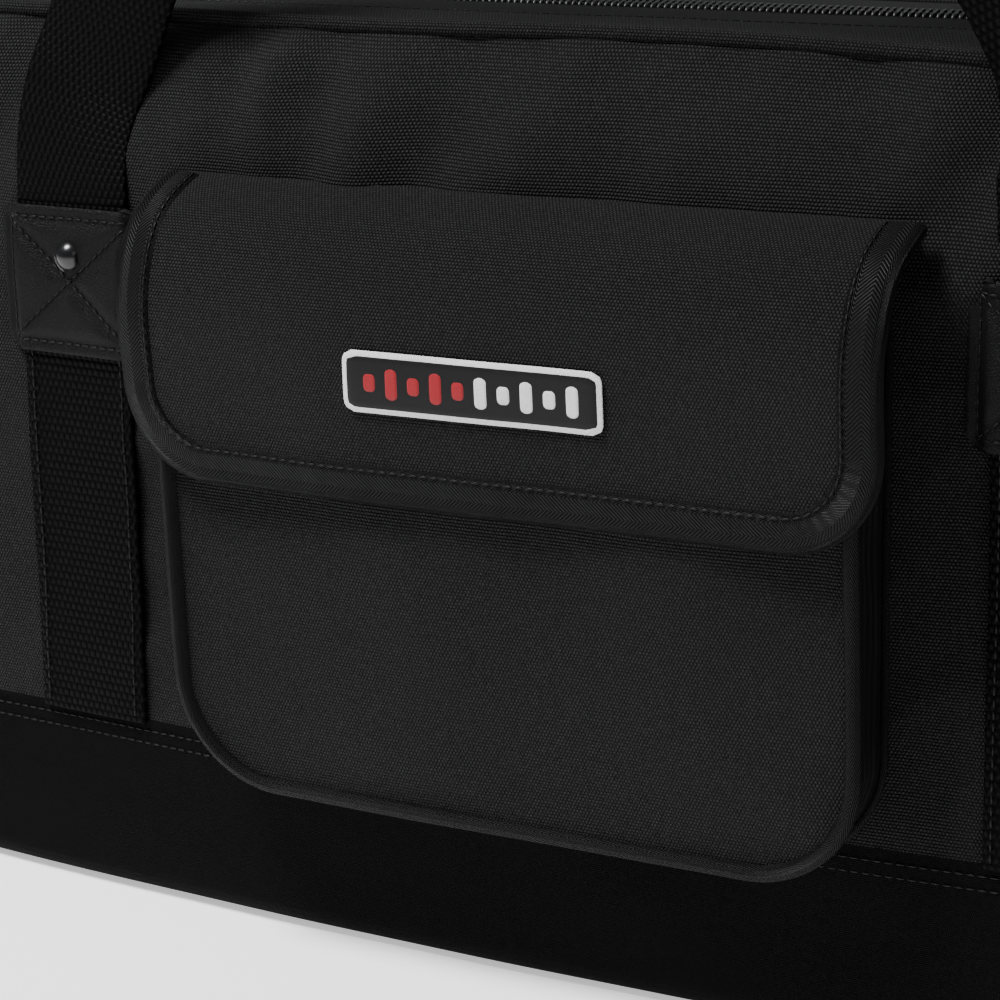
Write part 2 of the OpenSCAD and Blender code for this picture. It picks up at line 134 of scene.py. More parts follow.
class Graph:
    """The node tree of one material."""

    def __init__(self, name: str) -> None:
        """Starts an empty material of that name."""
        self.material = bpy.data.materials.new(name)
        self.material.use_nodes = True
        self.tree = self.material.node_tree
        self.tree.nodes.clear()

    def add(self, kind: str, settings: dict, inputs: Sequence | dict, output: int | str = 0) -> Wire:
        """Adds any node.

        Args:
            kind: the node's type name.
            settings: attributes set before the sockets, and "stops" for a ramp.
            inputs: values or wires, in socket order or by socket name.
            output: the output socket to return.

        Returns:
            The chosen output.
        """
        node = self.tree.nodes.new(kind)
        for key, value in settings.items():
            if key == "stops":
                ramp = node.color_ramp.elements
                for i, (at, shade) in enumerate(value):
                    stop = ramp[i] if i < len(ramp) else ramp.new(at)
                    stop.position = at
                    stop.color = (*shade, 1.0) if len(shade) == 3 else shade
            else:
                setattr(node, key, value)
        pairs = inputs.items() if isinstance(inputs, dict) else enumerate(inputs)
        for key, value in pairs:
            if value is None:
                continue
            if isinstance(value, Wire):
                self.tree.links.new(value.socket, node.inputs[key])
            else:
                node.inputs[key].default_value = value
        return Wire(self, node.outputs[output])

    def chart(self) -> tuple[Wire, Wire]:
        """The piece's own UV map, in metres: along and across the cloth."""
        uv = self.add("ShaderNodeUVMap", {"uv_map": "cloth"}, [])
        apart = self.add("ShaderNodeSeparateXYZ", {}, [uv])
        node = apart.socket.node
        return Wire(self, node.outputs[0]), Wire(self, node.outputs[1])

    def place(self) -> Wire:
        """Object coordinates, in metres."""
        return self.add("ShaderNodeTexCoord", {}, [], "Object")

    def grain(self, scale: float, detail: float = 3.0, where: Wire | None = None) -> Wire:
        """Noise from 0 to 1.

        Args:
            scale: how many lumps there are in a metre.
            detail: octaves.
            where: coordinates, by default Object coordinates.

        Returns:
            The noise value.
        """
        spot = where or self.place()
        return self.add(
            "ShaderNodeTexNoise", {}, {"Vector": spot, "Scale": scale, "Detail": detail}, 0
        )

    def tint(self, mask: Wire, dark: Sequence[float], light: Sequence[float]) -> Wire:
        """Mixes two colours by a mask.

        Args:
            mask: 0 for dark, 1 for light.
            dark: linear colour.
            light: linear colour.

        Returns:
            The colour.
        """
        return self.add(
            "ShaderNodeMix",
            {"data_type": "RGBA"},
            {0: mask, 6: (*dark, 1.0), 7: (*light, 1.0)},
            2,
        )

    def finish(
        self,
        colour: Wire | Sequence[float],
        rough: Wire | float,
        height: Wire | None = None,
        depth: float = 0.0,
        sheen: float = 0.0,
        metal: float = 0.0,
        coat: float = 0.0,
        gloss: float = 0.5,
    ) -> bpy.types.Material:
        """Ends the graph in a Principled shader.

        Args:
            colour: base colour.
            rough: roughness.
            height: bump height from 0 to 1.
            depth: the height's real depth in metres.
            sheen: sheen weight.
            metal: metallic.
            coat: coat weight.
            gloss: specular level.

        Returns:
            The material.
        """
        shade = colour if isinstance(colour, Wire) else (*colour, 1.0)
        sockets = {
            "Base Color": shade,
            "Roughness": rough,
            "Metallic": metal,
            "Sheen Weight": sheen,
            "Sheen Roughness": 0.5,
            "Coat Weight": coat,
            "Specular IOR Level": gloss,
        }
        if height is not None:
            sockets["Normal"] = self.add(
                "ShaderNodeBump", {}, {"Height": height, "Distance": depth, "Strength": 1.0}
            )
        shader = self.add("ShaderNodeBsdfPrincipled", {}, sockets)
        out = self.tree.nodes.new("ShaderNodeOutputMaterial")
        self.tree.links.new(shader.socket, out.inputs[0])
        return self.material


@dataclass(frozen=True)
class WovenCloth:
    """Plain weave cloth, drawn thread by thread on the piece's own chart, its black lightened on the thread
    tops as painted highlights and darkened between threads as painted shade.
    """

    name: str
    pitch: tuple[float, float] = (1.0 * MM, 0.92 * MM)
    # dark is painted shade between the threads; light is the cloth's black with painted highlights on the
    # thread tops.
    dark: tuple[float, float, float] = (0.0005, 0.0005, 0.0005)
    light: tuple[float, float, float] = (0.0205, 0.0205, 0.0211)
    depth: float = 0.42 * MM
    rough: float = 0.66
    sheen: float = 0.01
    dust: float = 0.25
    gloss: float = 0.07

    def make(self) -> bpy.types.Material:
        """Builds the material."""
        g = Graph(self.name)
        along, across = g.chart()
        wobble = g.grain(240.0, 2.0)
        u = along / self.pitch[0] + wobble * 0.25
        v = across / self.pitch[1] + wobble * 0.25
        shifted = u + v.floor() * 0.5
        thread = (shifted.fract() * math.pi).sin() * (v.fract() * math.pi).sin()
        patchy = g.grain(900.0, 2.0)
        worn = g.grain(14.0, 4.0)
        # The mask paints highlights on the thread tops and shade between threads; fine noise breaks the
        # highlights into specks, broad noise varies the tone at random.
        mask = thread * (patchy * 1.5 + 0.05) * (worn * self.dust * 2 + 1.0 - self.dust)
        colour = g.tint(mask.clamp(), self.dark, self.light)
        rough = self.rough + worn * 0.12 - thread * 0.10
        return g.finish(colour, rough, thread, self.depth, sheen=self.sheen, gloss=self.gloss)


@dataclass(frozen=True)
class RibbedWebbing:
    """Heavy carry webbing: short floats in offset rows, along the strap, their tops lightened as painted
    highlights and the gaps between them darkened as painted shade.
    """

    name: str
    pitch: tuple[float, float] = (2.1 * MM, 2.2 * MM)
    # dark is painted shade between the floats; light is the webbing's black with painted highlights on the
    # float tops.
    dark: tuple[float, float, float] = (0.001, 0.001, 0.001)
    light: tuple[float, float, float] = (0.0046, 0.0046, 0.0048)

    def make(self) -> bpy.types.Material:
        """Builds the material."""
        g = Graph(self.name)
        along, across = g.chart()
        v = along / self.pitch[1]
        u = across / self.pitch[0] + v.floor() * 0.5
        bump = (u.fract() * math.pi).sin() * (v.fract() * math.pi).sin()
        fibre = g.grain(1600.0, 2.0)
        # The mask paints highlights on the float tops, broken into specks by fibre noise, and painted shade
        # between the floats.
        mask = bump * bump * (fibre * 1.4 + 0.2)
        colour = g.tint(mask.clamp(), self.dark, self.light)
        return g.finish(colour, 0.58 - mask * 0.1, bump, 0.45 * MM, sheen=0.0, gloss=0.03)


@dataclass(frozen=True)
class TwillTape:
    """Herringbone edge tape."""

    name: str
    pitch: float = 1.15 * MM
    band: float = 4.2 * MM
    light: tuple[float, float, float] = (0.0105, 0.0105, 0.0108)
    dark: tuple[float, float, float] = (0.0004, 0.0004, 0.0004)

    def make(self) -> bpy.types.Material:
        """Builds the material."""
        g = Graph(self.name)
        along, across = g.chart()
        zig = ((across / self.band).fract() - 0.5).abs() * self.band * 2.0
        rib = ((along + zig) / self.pitch * math.pi).sin().abs()
        fibre = g.grain(1500.0, 2.0)
        colour = g.tint((rib * rib * (fibre * 1.3 + 0.1)).clamp(), self.dark, self.light)
        return g.finish(colour, 0.50 - rib * 0.08, rib, 0.30 * MM, sheen=0.0, gloss=0.08)


@dataclass(frozen=True)
class Leatherette:
    """Coated cloth with a fine pebble grain."""

    name: str
    base: tuple[float, float, float] = (0.0040, 0.0040, 0.0042)
    rough: float = 0.44

    def make(self) -> bpy.types.Material:
        """Builds the material."""
        g = Graph(self.name)
        spot = g.place()
        cells = g.add(
            "ShaderNodeTexVoronoi",
            {"feature": "DISTANCE_TO_EDGE"},
            {"Vector": spot, "Scale": 1500.0},
            0,
        )
        grain = (cells * 5.0).clamp()
        blotch = g.grain(60.0, 4.0, spot)
        dark = tuple(c * 0.55 for c in self.base)
        colour = g.tint((grain * 0.6 + blotch * 0.4).clamp(), dark, self.base)
        return g.finish(colour, self.rough + blotch * 0.12, grain, 0.07 * MM, gloss=0.09)


@dataclass(frozen=True)
class HardFinish:
    """Metal or moulded plastic with faint unevenness."""

    name: str
    base: tuple[float, float, float] = (0.03, 0.03, 0.032)
    rough: float = 0.25
    metal: float = 0.0
    coat: float = 0.0

    def make(self) -> bpy.types.Material:
        """Builds the material."""
        g = Graph(self.name)
        scuff = g.grain(300.0, 5.0)
        wear = g.grain(45.0, 3.0)
        colour = g.tint(wear, tuple(c * 0.75 for c in self.base), self.base)
        rough = self.rough + scuff * 0.12
        return g.finish(colour, rough, scuff, 0.02 * MM, metal=self.metal, coat=self.coat)


@dataclass(frozen=True)
class SpunThread:
    """Twisted sewing thread or yarn."""

    name: str
    base: tuple[float, float, float] = (0.006, 0.006, 0.0062)
    rough: float = 0.5
    gloss: float = 0.15

    def make(self) -> bpy.types.Material:
        """Builds the material."""
        g = Graph(self.name)
        twist = g.grain(2600.0, 2.0)
        colour = g.tint(twist, tuple(c * 0.5 for c in self.base), self.base)
        return g.finish(colour, self.rough, twist, 0.06 * MM, sheen=0.005, gloss=self.gloss)


# ---------------------------------------------------------------- mesh tools


class Bench:
    """Modelling steps that every sub-assembly uses."""

    @staticmethod
    def clear() -> None:
        """Leaves edit mode and deselects everything."""
        if bpy.context.mode != "OBJECT":
            bpy.ops.object.mode_set(mode="OBJECT")
        bpy.ops.object.select_all(action="DESELECT")

    @staticmethod
    def pick(piece: bpy.types.Object) -> None:
        """Selects one piece alone and makes it active."""
        Bench.clear()
        piece.select_set(True)
        bpy.context.view_layer.objects.active = piece

    @staticmethod
    def name(piece: bpy.types.Object, title: str) -> bpy.types.Object:
        """Names a piece and its mesh."""
        piece.name = title
        piece.data.name = title
        return piece

    @staticmethod
    def settle(piece: bpy.types.Object) -> None:
        """Moves the object's place, turn and scale into its mesh."""
        Bench.pick(piece)
        bpy.ops.object.transform_apply(location=True, rotation=True, scale=True)

    @staticmethod
    def apply(piece: bpy.types.Object, kind: str, **settings: object) -> None:
        """Adds a modifier, sets it and applies it.

        Args:
            piece: the piece.
            kind: the modifier's type.
            settings: its attributes.
        """
        Bench.pick(piece)
        bpy.ops.object.modifier_add(type=kind)
        modifier = piece.modifiers[-1]
        for key, value in settings.items():
            setattr(modifier, key, value)
        bpy.ops.object.modifier_apply(modifier=modifier.name)

    @staticmethod
    def smooth(piece: bpy.types.Object, angle: float = 40.0) -> None:
        """Shades smooth, with edges sharper than the angle kept."""
        Bench.pick(piece)
        bpy.ops.object.shade_smooth_by_angle(angle=math.radians(angle))

    @staticmethod
    def cloth(
        title: str,
        cells: tuple[int, int],
        place: Place,
        size: tuple[float, float],
        outward: Vector | None = None,
        wrap: bool = False,
    ) -> bpy.types.Object:
        """Lays a grid of cloth over a shape.

        Args:
            title: the piece's name.
            cells: cells along and across.
            place: the point for a share along and a share across, each 0 to 1.
            size: the cloth's flat size in metres, for its chart.
            outward: the way its faces look, or None where wrapped.
            wrap: joins the last row across to the first, into a tube.

        Returns:
            The piece, one layer thick.
        """
        Bench.clear()
        bpy.ops.mesh.primitive_grid_add(x_subdivisions=cells[0], y_subdivisions=cells[1], size=2)
        piece = Bench.name(bpy.context.object, title)
        mesh = piece.data
        shares = [((v.co.x + 1) / 2, (v.co.y + 1) / 2) for v in mesh.vertices]
        while mesh.uv_layers:
            mesh.uv_layers.remove(mesh.uv_layers[0])
        layer = mesh.uv_layers.new(name="cloth")
        for loop in mesh.loops:
            a, b = shares[loop.vertex_index]
            layer.data[loop.index].uv = (a * size[0], b * size[1])
        for vertex, (a, b) in zip(mesh.vertices, shares):
            vertex.co = place(a, b)
        mesh.update()
        if wrap:
            Bench.pick(piece)
            bpy.ops.object.mode_set(mode="EDIT")
            bpy.ops.mesh.select_all(action="SELECT")
            bpy.ops.mesh.remove_doubles(threshold=0.00001)
            bpy.ops.mesh.select_all(action="DESELECT")
            bpy.ops.mesh.select_non_manifold()
            bpy.ops.mesh.edge_face_add()
            bpy.ops.mesh.select_all(action="SELECT")
            bpy.ops.mesh.normals_make_consistent(inside=False)
            bpy.ops.object.mode_set(mode="OBJECT")
        elif outward is not None:
            total = sum((p.normal * p.area for p in mesh.polygons), Vector())
            if total.dot(outward) < 0:
                Bench.pick(piece)
                bpy.ops.object.mode_set(mode="EDIT")
                bpy.ops.mesh.select_all(action="SELECT")
                bpy.ops.mesh.flip_normals()
                bpy.ops.object.mode_set(mode="OBJECT")
        Bench.smooth(piece, 55)
        return piece

    @staticmethod
    def thicken(piece: bpy.types.Object, wall: float, round_edge: bool = True) -> None:
        """Gives a layer of cloth its thickness, inwards, and a soft edge.

        Args:
            piece: the piece.
            wall: thickness in metres.
            round_edge: bevels the cut edge.
        """
        Bench.apply(piece, "SOLIDIFY", thickness=wall, offset=-1.0, use_even_offset=False)
        if round_edge:
            Bench.apply(
                piece,
                "BEVEL",
                width=wall * 0.3,
                segments=2,
                limit_method="ANGLE",
                angle_limit=math.radians(60),
            )
        Bench.smooth(piece, 50)

    @staticmethod
    def tube(
        title: str,
        path: Callable[[float], Vector],
        length: float,
        radius: float,
        cells: int,
        sides: int = 12,
        tape: float = 1.0,
    ) -> bpy.types.Object:
        """Sweeps a round cord along an open path and closes its ends.

        Args:
            title: the piece's name.
            path: the point for a share along, 0 to 1.
            length: its length in metres, for the chart.
            radius: the cord's radius.
            cells: rings along it.
            sides: faces round it.
            tape: scales the chart across.

        Returns:
            The closed piece.
        """
        step = 0.5 / cells
        ways = [(path(i / 40 + 0.01) - path(i / 40)).normalized() for i in range(40)]
        axes = (Vector((0, 0, 1)), Vector((0, 1, 0)), Vector((1, 0, 0)))
        up = min(axes, key=lambda axis: max(abs(way.dot(axis)) for way in ways))

        def place(a: float, b: float) -> Vector:
            here = path(a)
            ahead = (path(min(1, a + step)) - path(max(0, a - step))).normalized()
            side = ahead.cross(up).normalized()
            top = side.cross(ahead)
            turn = 2 * math.pi * b
            return here + side * radius * math.cos(turn) + top * radius * math.sin(turn)

        round_size = 2 * math.pi * radius * tape
        return Bench.cloth(title, (cells, sides), place, (length, round_size), wrap=True)

    @staticmethod
    def dress(
        piece: bpy.types.Object, finish: bpy.types.Material, slot: str, body: str | None
    ) -> bpy.types.Object:
        """Gives a piece its finish and the body it rides on.

        Args:
            piece: the piece.
            finish: the material.
            slot: not used.
            body: the body's name, or None to leave the piece unattached.

        Returns:
            The piece.
        """
        piece.data.materials.clear()
        piece.data.materials.append(finish)
        if body:
            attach(piece, body)
        LOG.info("piece %s, %d faces", piece.name, len(piece.data.polygons))
        return piece

    @staticmethod
    def join(pieces: Sequence[bpy.types.Object], title: str) -> bpy.types.Object:
        """Joins pieces into one of that name."""
        Bench.clear()
        for p in pieces:
            p.select_set(True)
        bpy.context.view_layer.objects.active = pieces[0]
        bpy.ops.object.join()
        return Bench.name(pieces[0], title)

    @staticmethod
    def stitches(
        title: str,
        rows: Sequence[Sequence[Vector]],
        normal: Callable[[Vector], Vector],
        pitch: float = 3.1 * MM,
        gauge: float = 0.32 * MM,
    ) -> bpy.types.Object:
        """Sews rows of stitches along polylines.

        Args:
            title: the piece's name.
            rows: each row's points.
            normal: the surface's outward direction at a point.
            pitch: distance from stitch to stitch.
            gauge: the thread's half thickness.

        Returns:
            One piece that holds them all.
        """
        Bench.clear()
        bpy.ops.mesh.primitive_uv_sphere_add(segments=6, ring_count=4, radius=1)
        master = bpy.context.object
        bpy.ops.object.shade_smooth()
        copies = []
        for row in rows:
            total = sum((b - a).length for a, b in zip(row, row[1:]))
            count = max(1, round(total / pitch))
            gap = total / count
            for k in range(count):
                at, left = gap * (k + 0.5), 0.0
                for a, b in zip(row, row[1:]):
                    run = (b - a).length
                    if left + run >= at:
                        spot = a.lerp(b, (at - left) / run)
                        ahead = (b - a).normalized()
                        break
                    left += run
                up = normal(spot)
                up = (up - ahead * up.dot(ahead)).normalized()
                side = up.cross(ahead)
                turn = Matrix((ahead * gap * 0.43, side * gauge, up * gauge * 0.8)).transposed()
                copy = master.copy()
                copy.data = master.data.copy()
                copy.data.transform(turn.to_4x4())
                copy.data.transform(Matrix.Translation(spot + up * gauge * 0.25))
                bpy.context.collection.objects.link(copy)
                copies.append(copy)
        bpy.data.objects.remove(master)
        return Bench.join(copies, title)


def soft_min(a: float, b: float, blend: float) -> float:
    """The smaller of two values, rounded over where they meet."""
    h = max(blend - abs(a - b), 0.0) / blend
    return min(a, b) - h * h * blend * 0.25


def lump(x: float, y: float, seed: float) -> float:
    """Smooth noise of two coordinates, about -1 to 1."""
    return noise.noise(Vector((x, y, seed)))


def ease(t: float) -> float:
    """A smooth step from 0 to 1."""
    t = min(1.0, max(0.0, t))
    return t * t * (3 - 2 * t)


class Profile:
    """A smooth open line through a few points, measured along its length."""

    def __init__(self, points: Sequence[tuple[float, float]], rounds: int = 3) -> None:
        """Rounds the corners and measures the line."""
        line = [Vector(p) for p in points]
        for _ in range(rounds):
            cut = [line[0]]
            for a, b in zip(line, line[1:]):
                cut += [a.lerp(b, 0.25), a.lerp(b, 0.75)]
            line = cut + [line[-1]]
        self.line = line
        self.marks = [0.0]
        for a, b in zip(line, line[1:]):
            self.marks.append(self.marks[-1] + (b - a).length)
        self.length = self.marks[-1]

    def at(self, distance: float) -> tuple[Vector, Vector]:
        """The point and the direction at a distance along the line."""
        d = min(max(distance, 0.0), self.length)
        for k in range(1, len(self.marks)):
            if d <= self.marks[k] or k == len(self.marks) - 1:
                span = self.marks[k] - self.marks[k - 1]
                a, b = self.line[k - 1], self.line[k]
                share = (d - self.marks[k - 1]) / span if span else 0
                return a.lerp(b, share), (b - a).normalized()
        return self.line[-1], (self.line[-1] - self.line[-2]).normalized()


# ---------------------------------------------------------------- the bag's shape


@dataclass
class BagShape:
    """The outline that every cloth piece of the bag follows."""

    half: float = 304 * MM
    depth: float = 75 * MM
    swell: float = 18 * MM
    band: float = 55 * MM
    top: float = 255 * MM
    mouth: float = 42 * MM
    lean: float = math.tan(math.radians(2.6))
    strap_x: float = 147 * MM

    def wall(self, x: float, z: float, side: Side = Side.FRONT) -> float:
        """How far the cloth lies from the middle of the bag.

        Args:
            x: place along the bag.
            z: height.
            side: not used.

        Returns:
            The half depth in metres.
        """
        r = (self.half**2 + self.swell**2) / (2 * self.swell)
        y = self.depth - max(0.0, z - self.band) * self.lean - x * x / (2 * r)
        z1, z2 = self.top - 55 * MM, self.top - 23 * MM
        y1, y2 = self.depth - 5.5 * MM, self.mouth + 18 * MM
        slope = y1 - (y1 - y2) / (z2 - z1) * (z - z1)
        steep = y2 - (y2 - self.mouth) / (self.top - z2) * (z - z2)
        y = soft_min(y, soft_min(slope, steep, 14 * MM), 14 * MM)
        dip = math.exp(-(((abs(x) - self.strap_x) / (46 * MM)) ** 2))
        low = ease((z - 20 * MM) / (90 * MM)) * ease((self.top - z) / (60 * MM))
        return y - dip * low * 2.6 * MM + (1 - dip) * low * 1.2 * MM

    def crumple(self, x: float, z: float, side: Side) -> float:
        """How far folds and puckers move the cloth out from its wall.

        Args:
            x: place along the bag.
            z: height.
            side: which face.

        Returns:
            The offset in metres.
        """
        seed = 3.0 if side is Side.FRONT else 11.0
        down = self.top - z
        pucker = lump(x * 52, down * 14, seed) * 4.0 * MM * math.exp(-down / (26 * MM))
        sway = lump(x * 14, down * 16, seed + 5) * 3.0
        drag = math.sin((x * 44 + down * 26) * math.tau * 0.5 + sway * 2.0)
        patch = ease(0.5 + lump(x * 9, down * 11, seed + 6) * 1.6)
        reach = math.exp(-(((down - 34 * MM) / (34 * MM)) ** 2))
        pucker += drag * 2.9 * MM * patch * reach
        broad = lump(x * 12 + z * 6, z * 15, seed + 1) * 4.2 * MM
        fine = lump(x * 34 - z * 20, z * 30 + x * 9, seed + 2)
        crease = (1 - abs(fine) * 2.2) * 1.9 * MM if abs(fine) < 0.45 else 0.0
        edge = ease((z - self.band) / (22 * MM)) * ease(down / (10 * MM))
        ends = ease((self.half - abs(x)) / (26 * MM))
        return (broad * ends + crease * 0.6) * edge + pucker * ease(down / (5 * MM)) * ends

    @staticmethod
    def sag(x: float) -> float:
        """How far the edge of the top droops at a place along the bag."""
        return 3.6 * MM * math.exp(-(((x - 150 * MM) / (70 * MM)) ** 2)) + 1.0 * MM * math.exp(
            -(((x + 60 * MM) / (60 * MM)) ** 2)
        )

    def skin(self, x: float, z: float, side: Side, out: float = 0.0) -> Vector:
        """A point on a long face.

        Args:
            x: place along the bag.
            z: height.
            side: which face.
            out: distance outwards from the cloth.

        Returns:
            The point.
        """
        y = self.wall(x, z, side) + self.crumple(x, z, side) + out
        droop = self.sag(x) * ease((z - 215 * MM) / (40 * MM))
        return Vector((x, side.value * y, z - droop))

    def calm(self, x: float, z: float, side: Side, out: float = 0.0) -> Vector:
        """A point on a long face with most of its folds left out, as under webbing."""
        y = self.wall(x, z, side) + self.crumple(x, z, side) * 0.35 + out
        return Vector((x, side.value * y, z))


@dataclass
class Finishes:
    """Every material of the bag, made once."""

    cloth: bpy.types.Material = field(init=False)
    band: bpy.types.Material = field(init=False)
    tape: bpy.types.Material = field(init=False)
    zip_tape: bpy.types.Material = field(init=False)
    webbing: bpy.types.Material = field(init=False)
    leather: bpy.types.Material = field(init=False)
    thread: bpy.types.Material = field(init=False)
    rivet: bpy.types.Material = field(init=False)
    metal: bpy.types.Material = field(init=False)
    coil: bpy.types.Material = field(init=False)
    lining: bpy.types.Material = field(init=False)
    board: bpy.types.Material = field(init=False)
    border: bpy.types.Material = field(init=False)
    ground: bpy.types.Material = field(init=False)
    accent: bpy.types.Material = field(init=False)
    hook: bpy.types.Material = field(init=False)

    def __post_init__(self) -> None:
        """Builds the materials."""
        # The woven cloths below hold painted shade between threads in their dark colour and painted
        # highlights on thread tops in their light colour.
        self.cloth = WovenCloth("ballistic_cloth").make()
        self.band = WovenCloth(
            "band_cloth", (0.55 * MM, 0.55 * MM), (0.0005,) * 3, (0.0062,) * 3,
            0.1 * MM, 0.7, 0.0, 0.25, 0.03,
        ).make()
        self.tape = TwillTape("edge_tape").make()
        self.zip_tape = WovenCloth(
            "zip_tape", (0.6 * MM, 0.5 * MM), (0.002,) * 3, (0.008,) * 3, 0.12 * MM, 0.6
        ).make()
        # The webbing's light colour is painted highlight on the float tops, its dark colour painted shade
        # between them.
        self.webbing = RibbedWebbing("webbing").make()
        self.leather = Leatherette("leatherette").make()
        self.thread = SpunThread("black_thread").make()
        self.rivet = HardFinish("rivet_gloss", (0.004, 0.004, 0.0045), 0.2).make()
        self.metal = HardFinish("black_nickel", (0.11, 0.11, 0.115), 0.24, 0.9).make()
        self.coil = HardFinish("zip_coil", (0.005, 0.005, 0.0055), 0.38).make()
        self.lining = WovenCloth(
            "lining_cloth", (0.35 * MM, 0.35 * MM), (0.012,) * 3, (0.03,) * 3, 0.05 * MM, 0.5
        ).make()
        self.board = HardFinish("bottom_board", (0.02, 0.02, 0.02), 0.6).make()
        self.border = SpunThread("label_border", (0.80, 0.80, 0.79), 0.6, 0.3).make()
        self.ground = SpunThread("label_ground", (0.008, 0.0075, 0.008)).make()
        self.accent = SpunThread("label_accent", (0.33, 0.008, 0.014), 0.6, 0.3).make()
        self.hook = SpunThread("hook_tape", (0.008, 0.008, 0.008), 0.8).make()


# ---------------------------------------------------------------- sub-assemblies


@dataclass
class Walls:
    """The outer cloth: long faces, lower bands, ends, underside and lining."""

    shape: BagShape
    looks: Finishes
    wall: float = 1.5 * MM
    edge_r: float = 7 * MM
    ring: "Profile" = field(init=False)

    def build(self) -> None:
        """Makes every wall."""
        for side in Side:
            self.face(side)
            self.low_band(side)
        for hand in Hand:
            self.end(hand)
        self.underside()
        self.inside()

    def face(self, side: Side) -> None:
        """The upper cloth of a long face, from the band's seam to the piping."""
        s = self.shape
        reach = s.half - 4.5 * MM

        def place(a: float, b: float) -> Vector:
            x = (a * 2 - 1) * reach
            z = s.band - 1 * MM + b * (s.top - 1.2 * MM - s.band + 1 * MM)
            return s.skin(x, z, side)

        title = f"face_cloth_{side.name.lower()}"
        piece = Bench.cloth(
            title, (240, 96), place, (reach * 2, 0.205), Vector((0, side.value, 0))
        )
        Bench.thicken(piece, self.wall, False)
        Bench.dress(piece, self.looks.cloth, "ballistic_cloth", "bag")
        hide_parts(*self.face_nodes(side))

    @staticmethod
    def face_nodes(side: Side) -> tuple[str, ...]:
        """The CAD nodes that a face stands for."""
        return ("front_panel", "foam_front") if side is Side.FRONT else ("rear_panel", "foam_rear")

    def low_band(self, side: Side) -> None:
        """The reinforced band, folded under the bag with a soft lower edge."""
        s = self.shape
        reach = s.half - 4.5 * MM
        drop = s.band - self.edge_r
        bend = self.edge_r * math.pi / 2
        total = drop + bend + 8 * MM

        def place(a: float, b: float) -> Vector:
            x = (a * 2 - 1) * reach
            run = (1 - b) * total
            puff = lump(x * 17, run * 40, 5.0 + side.value) * 0.9 * MM * ease(run / (14 * MM))
            if run < drop:
                z = s.band - run
                lift = 0.5 * MM * ease((run - 1 * MM) / (3 * MM))
                return s.skin(x, z, side, puff + lift * 0.6)
            turn = min((run - drop) / self.edge_r, math.pi / 2)
            y = s.wall(x, self.edge_r, side) + 0.3 * MM - self.edge_r * (1 - math.cos(turn))
            z = self.edge_r * (1 - math.sin(turn))
            y -= max(0.0, run - drop - bend)
            fade = max(0.0, math.cos(turn))
            return Vector((x, side.value * (y + puff * fade), z))

        title = f"band_cloth_{side.name.lower()}"
        piece = Bench.cloth(title, (200, 34), place, (reach * 2, total), Vector((0, side.value, 0)))
        Bench.thicken(piece, self.wall, False)
        Bench.dress(piece, self.looks.band, "band_cloth", "bag")
        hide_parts(f"lower_band_{side.name.lower()}")
        rows = []
        for down in (3.4 * MM, 7.2 * MM):
            rows.append(
                [
                    s.skin(x, s.band - down, side, 0.35 * MM)
                    for x in [(-1 + 2 * i / 90) * reach for i in range(91)]
                ]
            )
        sewn = Bench.stitches(
            f"band_stitches_{side.name.lower()}", rows, lambda p: Vector((0, side.value, 0))
        )
        Bench.dress(sewn, self.looks.thread, "band_cloth", "bag")

    def outline(self, run: float, out: float = 0.0) -> Vector:
        """A point on the end's outline, from the underside up and over.

        Args:
            run: share round the outline, 0 and 1 at the underside's middle.
            out: distance outwards.

        Returns:
            The point in the plane across the bag.
        """
        line = self.ring
        spot, ahead = line.at(run * line.length)
        across = Vector((ahead.y, -ahead.x))
        return spot + across * out

    def __post_init__(self) -> None:
        """Measures the end's outline once."""
        s = self.shape
        x = s.half - 5 * MM
        lowest, step, count = 8, 6.1, 40
        heights = [lowest + step * i for i in range(count)]
        right = [(s.wall(x, z * MM), z * MM) for z in heights if z * MM < s.top - 5 * MM]
        points = [(0.0, 0.9 * MM), (s.wall(x, 0) - 8 * MM, 0.9 * MM)]
        points += right
        points += [(s.mouth + 1.5 * MM, s.top - 1.5 * MM), (0.0, s.top - 0.8 * MM)]
        points += [(-y, z) for y, z in reversed(points[1:-1])] + [(0.0, 0.9 * MM)]
        self.ring = Profile(points, 2)

    def end(self, hand: Hand) -> None:
        """An end panel, slightly full, and its piping."""
        s = self.shape
        centre = Vector((0.0, 0.125))

        def place(a: float, b: float) -> Vector:
            rim = self.outline(a)
            spot = centre.lerp(rim, b)
            full = (1 - b * b) * 4.5 * MM
            ripple = lump(spot.x * 26, spot.y * 22, 21.0 + hand.value) * 1.2 * MM * (1 - b)
            return Vector((hand.value * (s.half - 2.8 * MM + full + ripple), spot.x, spot.y))

        title = f"end_cloth_{hand.name.lower()}"
        piece = Bench.cloth(title, (96, 26), place, (0.7, 0.13), Vector((hand.value, 0, 0)))
        Bench.pick(piece)
        bpy.ops.object.mode_set(mode="EDIT")
        bpy.ops.mesh.select_all(action="SELECT")
        bpy.ops.mesh.remove_doubles(threshold=0.00005)
        bpy.ops.object.mode_set(mode="OBJECT")
        layer = piece.data.uv_layers["cloth"]
        for loop in piece.data.loops:
            co = piece.data.vertices[loop.vertex_index].co
            layer.data[loop.index].uv = (co.y, co.z)
        Bench.thicken(piece, self.wall, False)
        Bench.dress(piece, self.looks.cloth, "ballistic_cloth", "bag")
        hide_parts(f"end_panel_{hand.name.lower()}")

        def path(a: float) -> Vector:
            p = self.outline(a * 0.9999, 0.3 * MM)
            return Vector((hand.value * (s.half - 1.6 * MM), p.x, max(p.y, 2.2 * MM)))

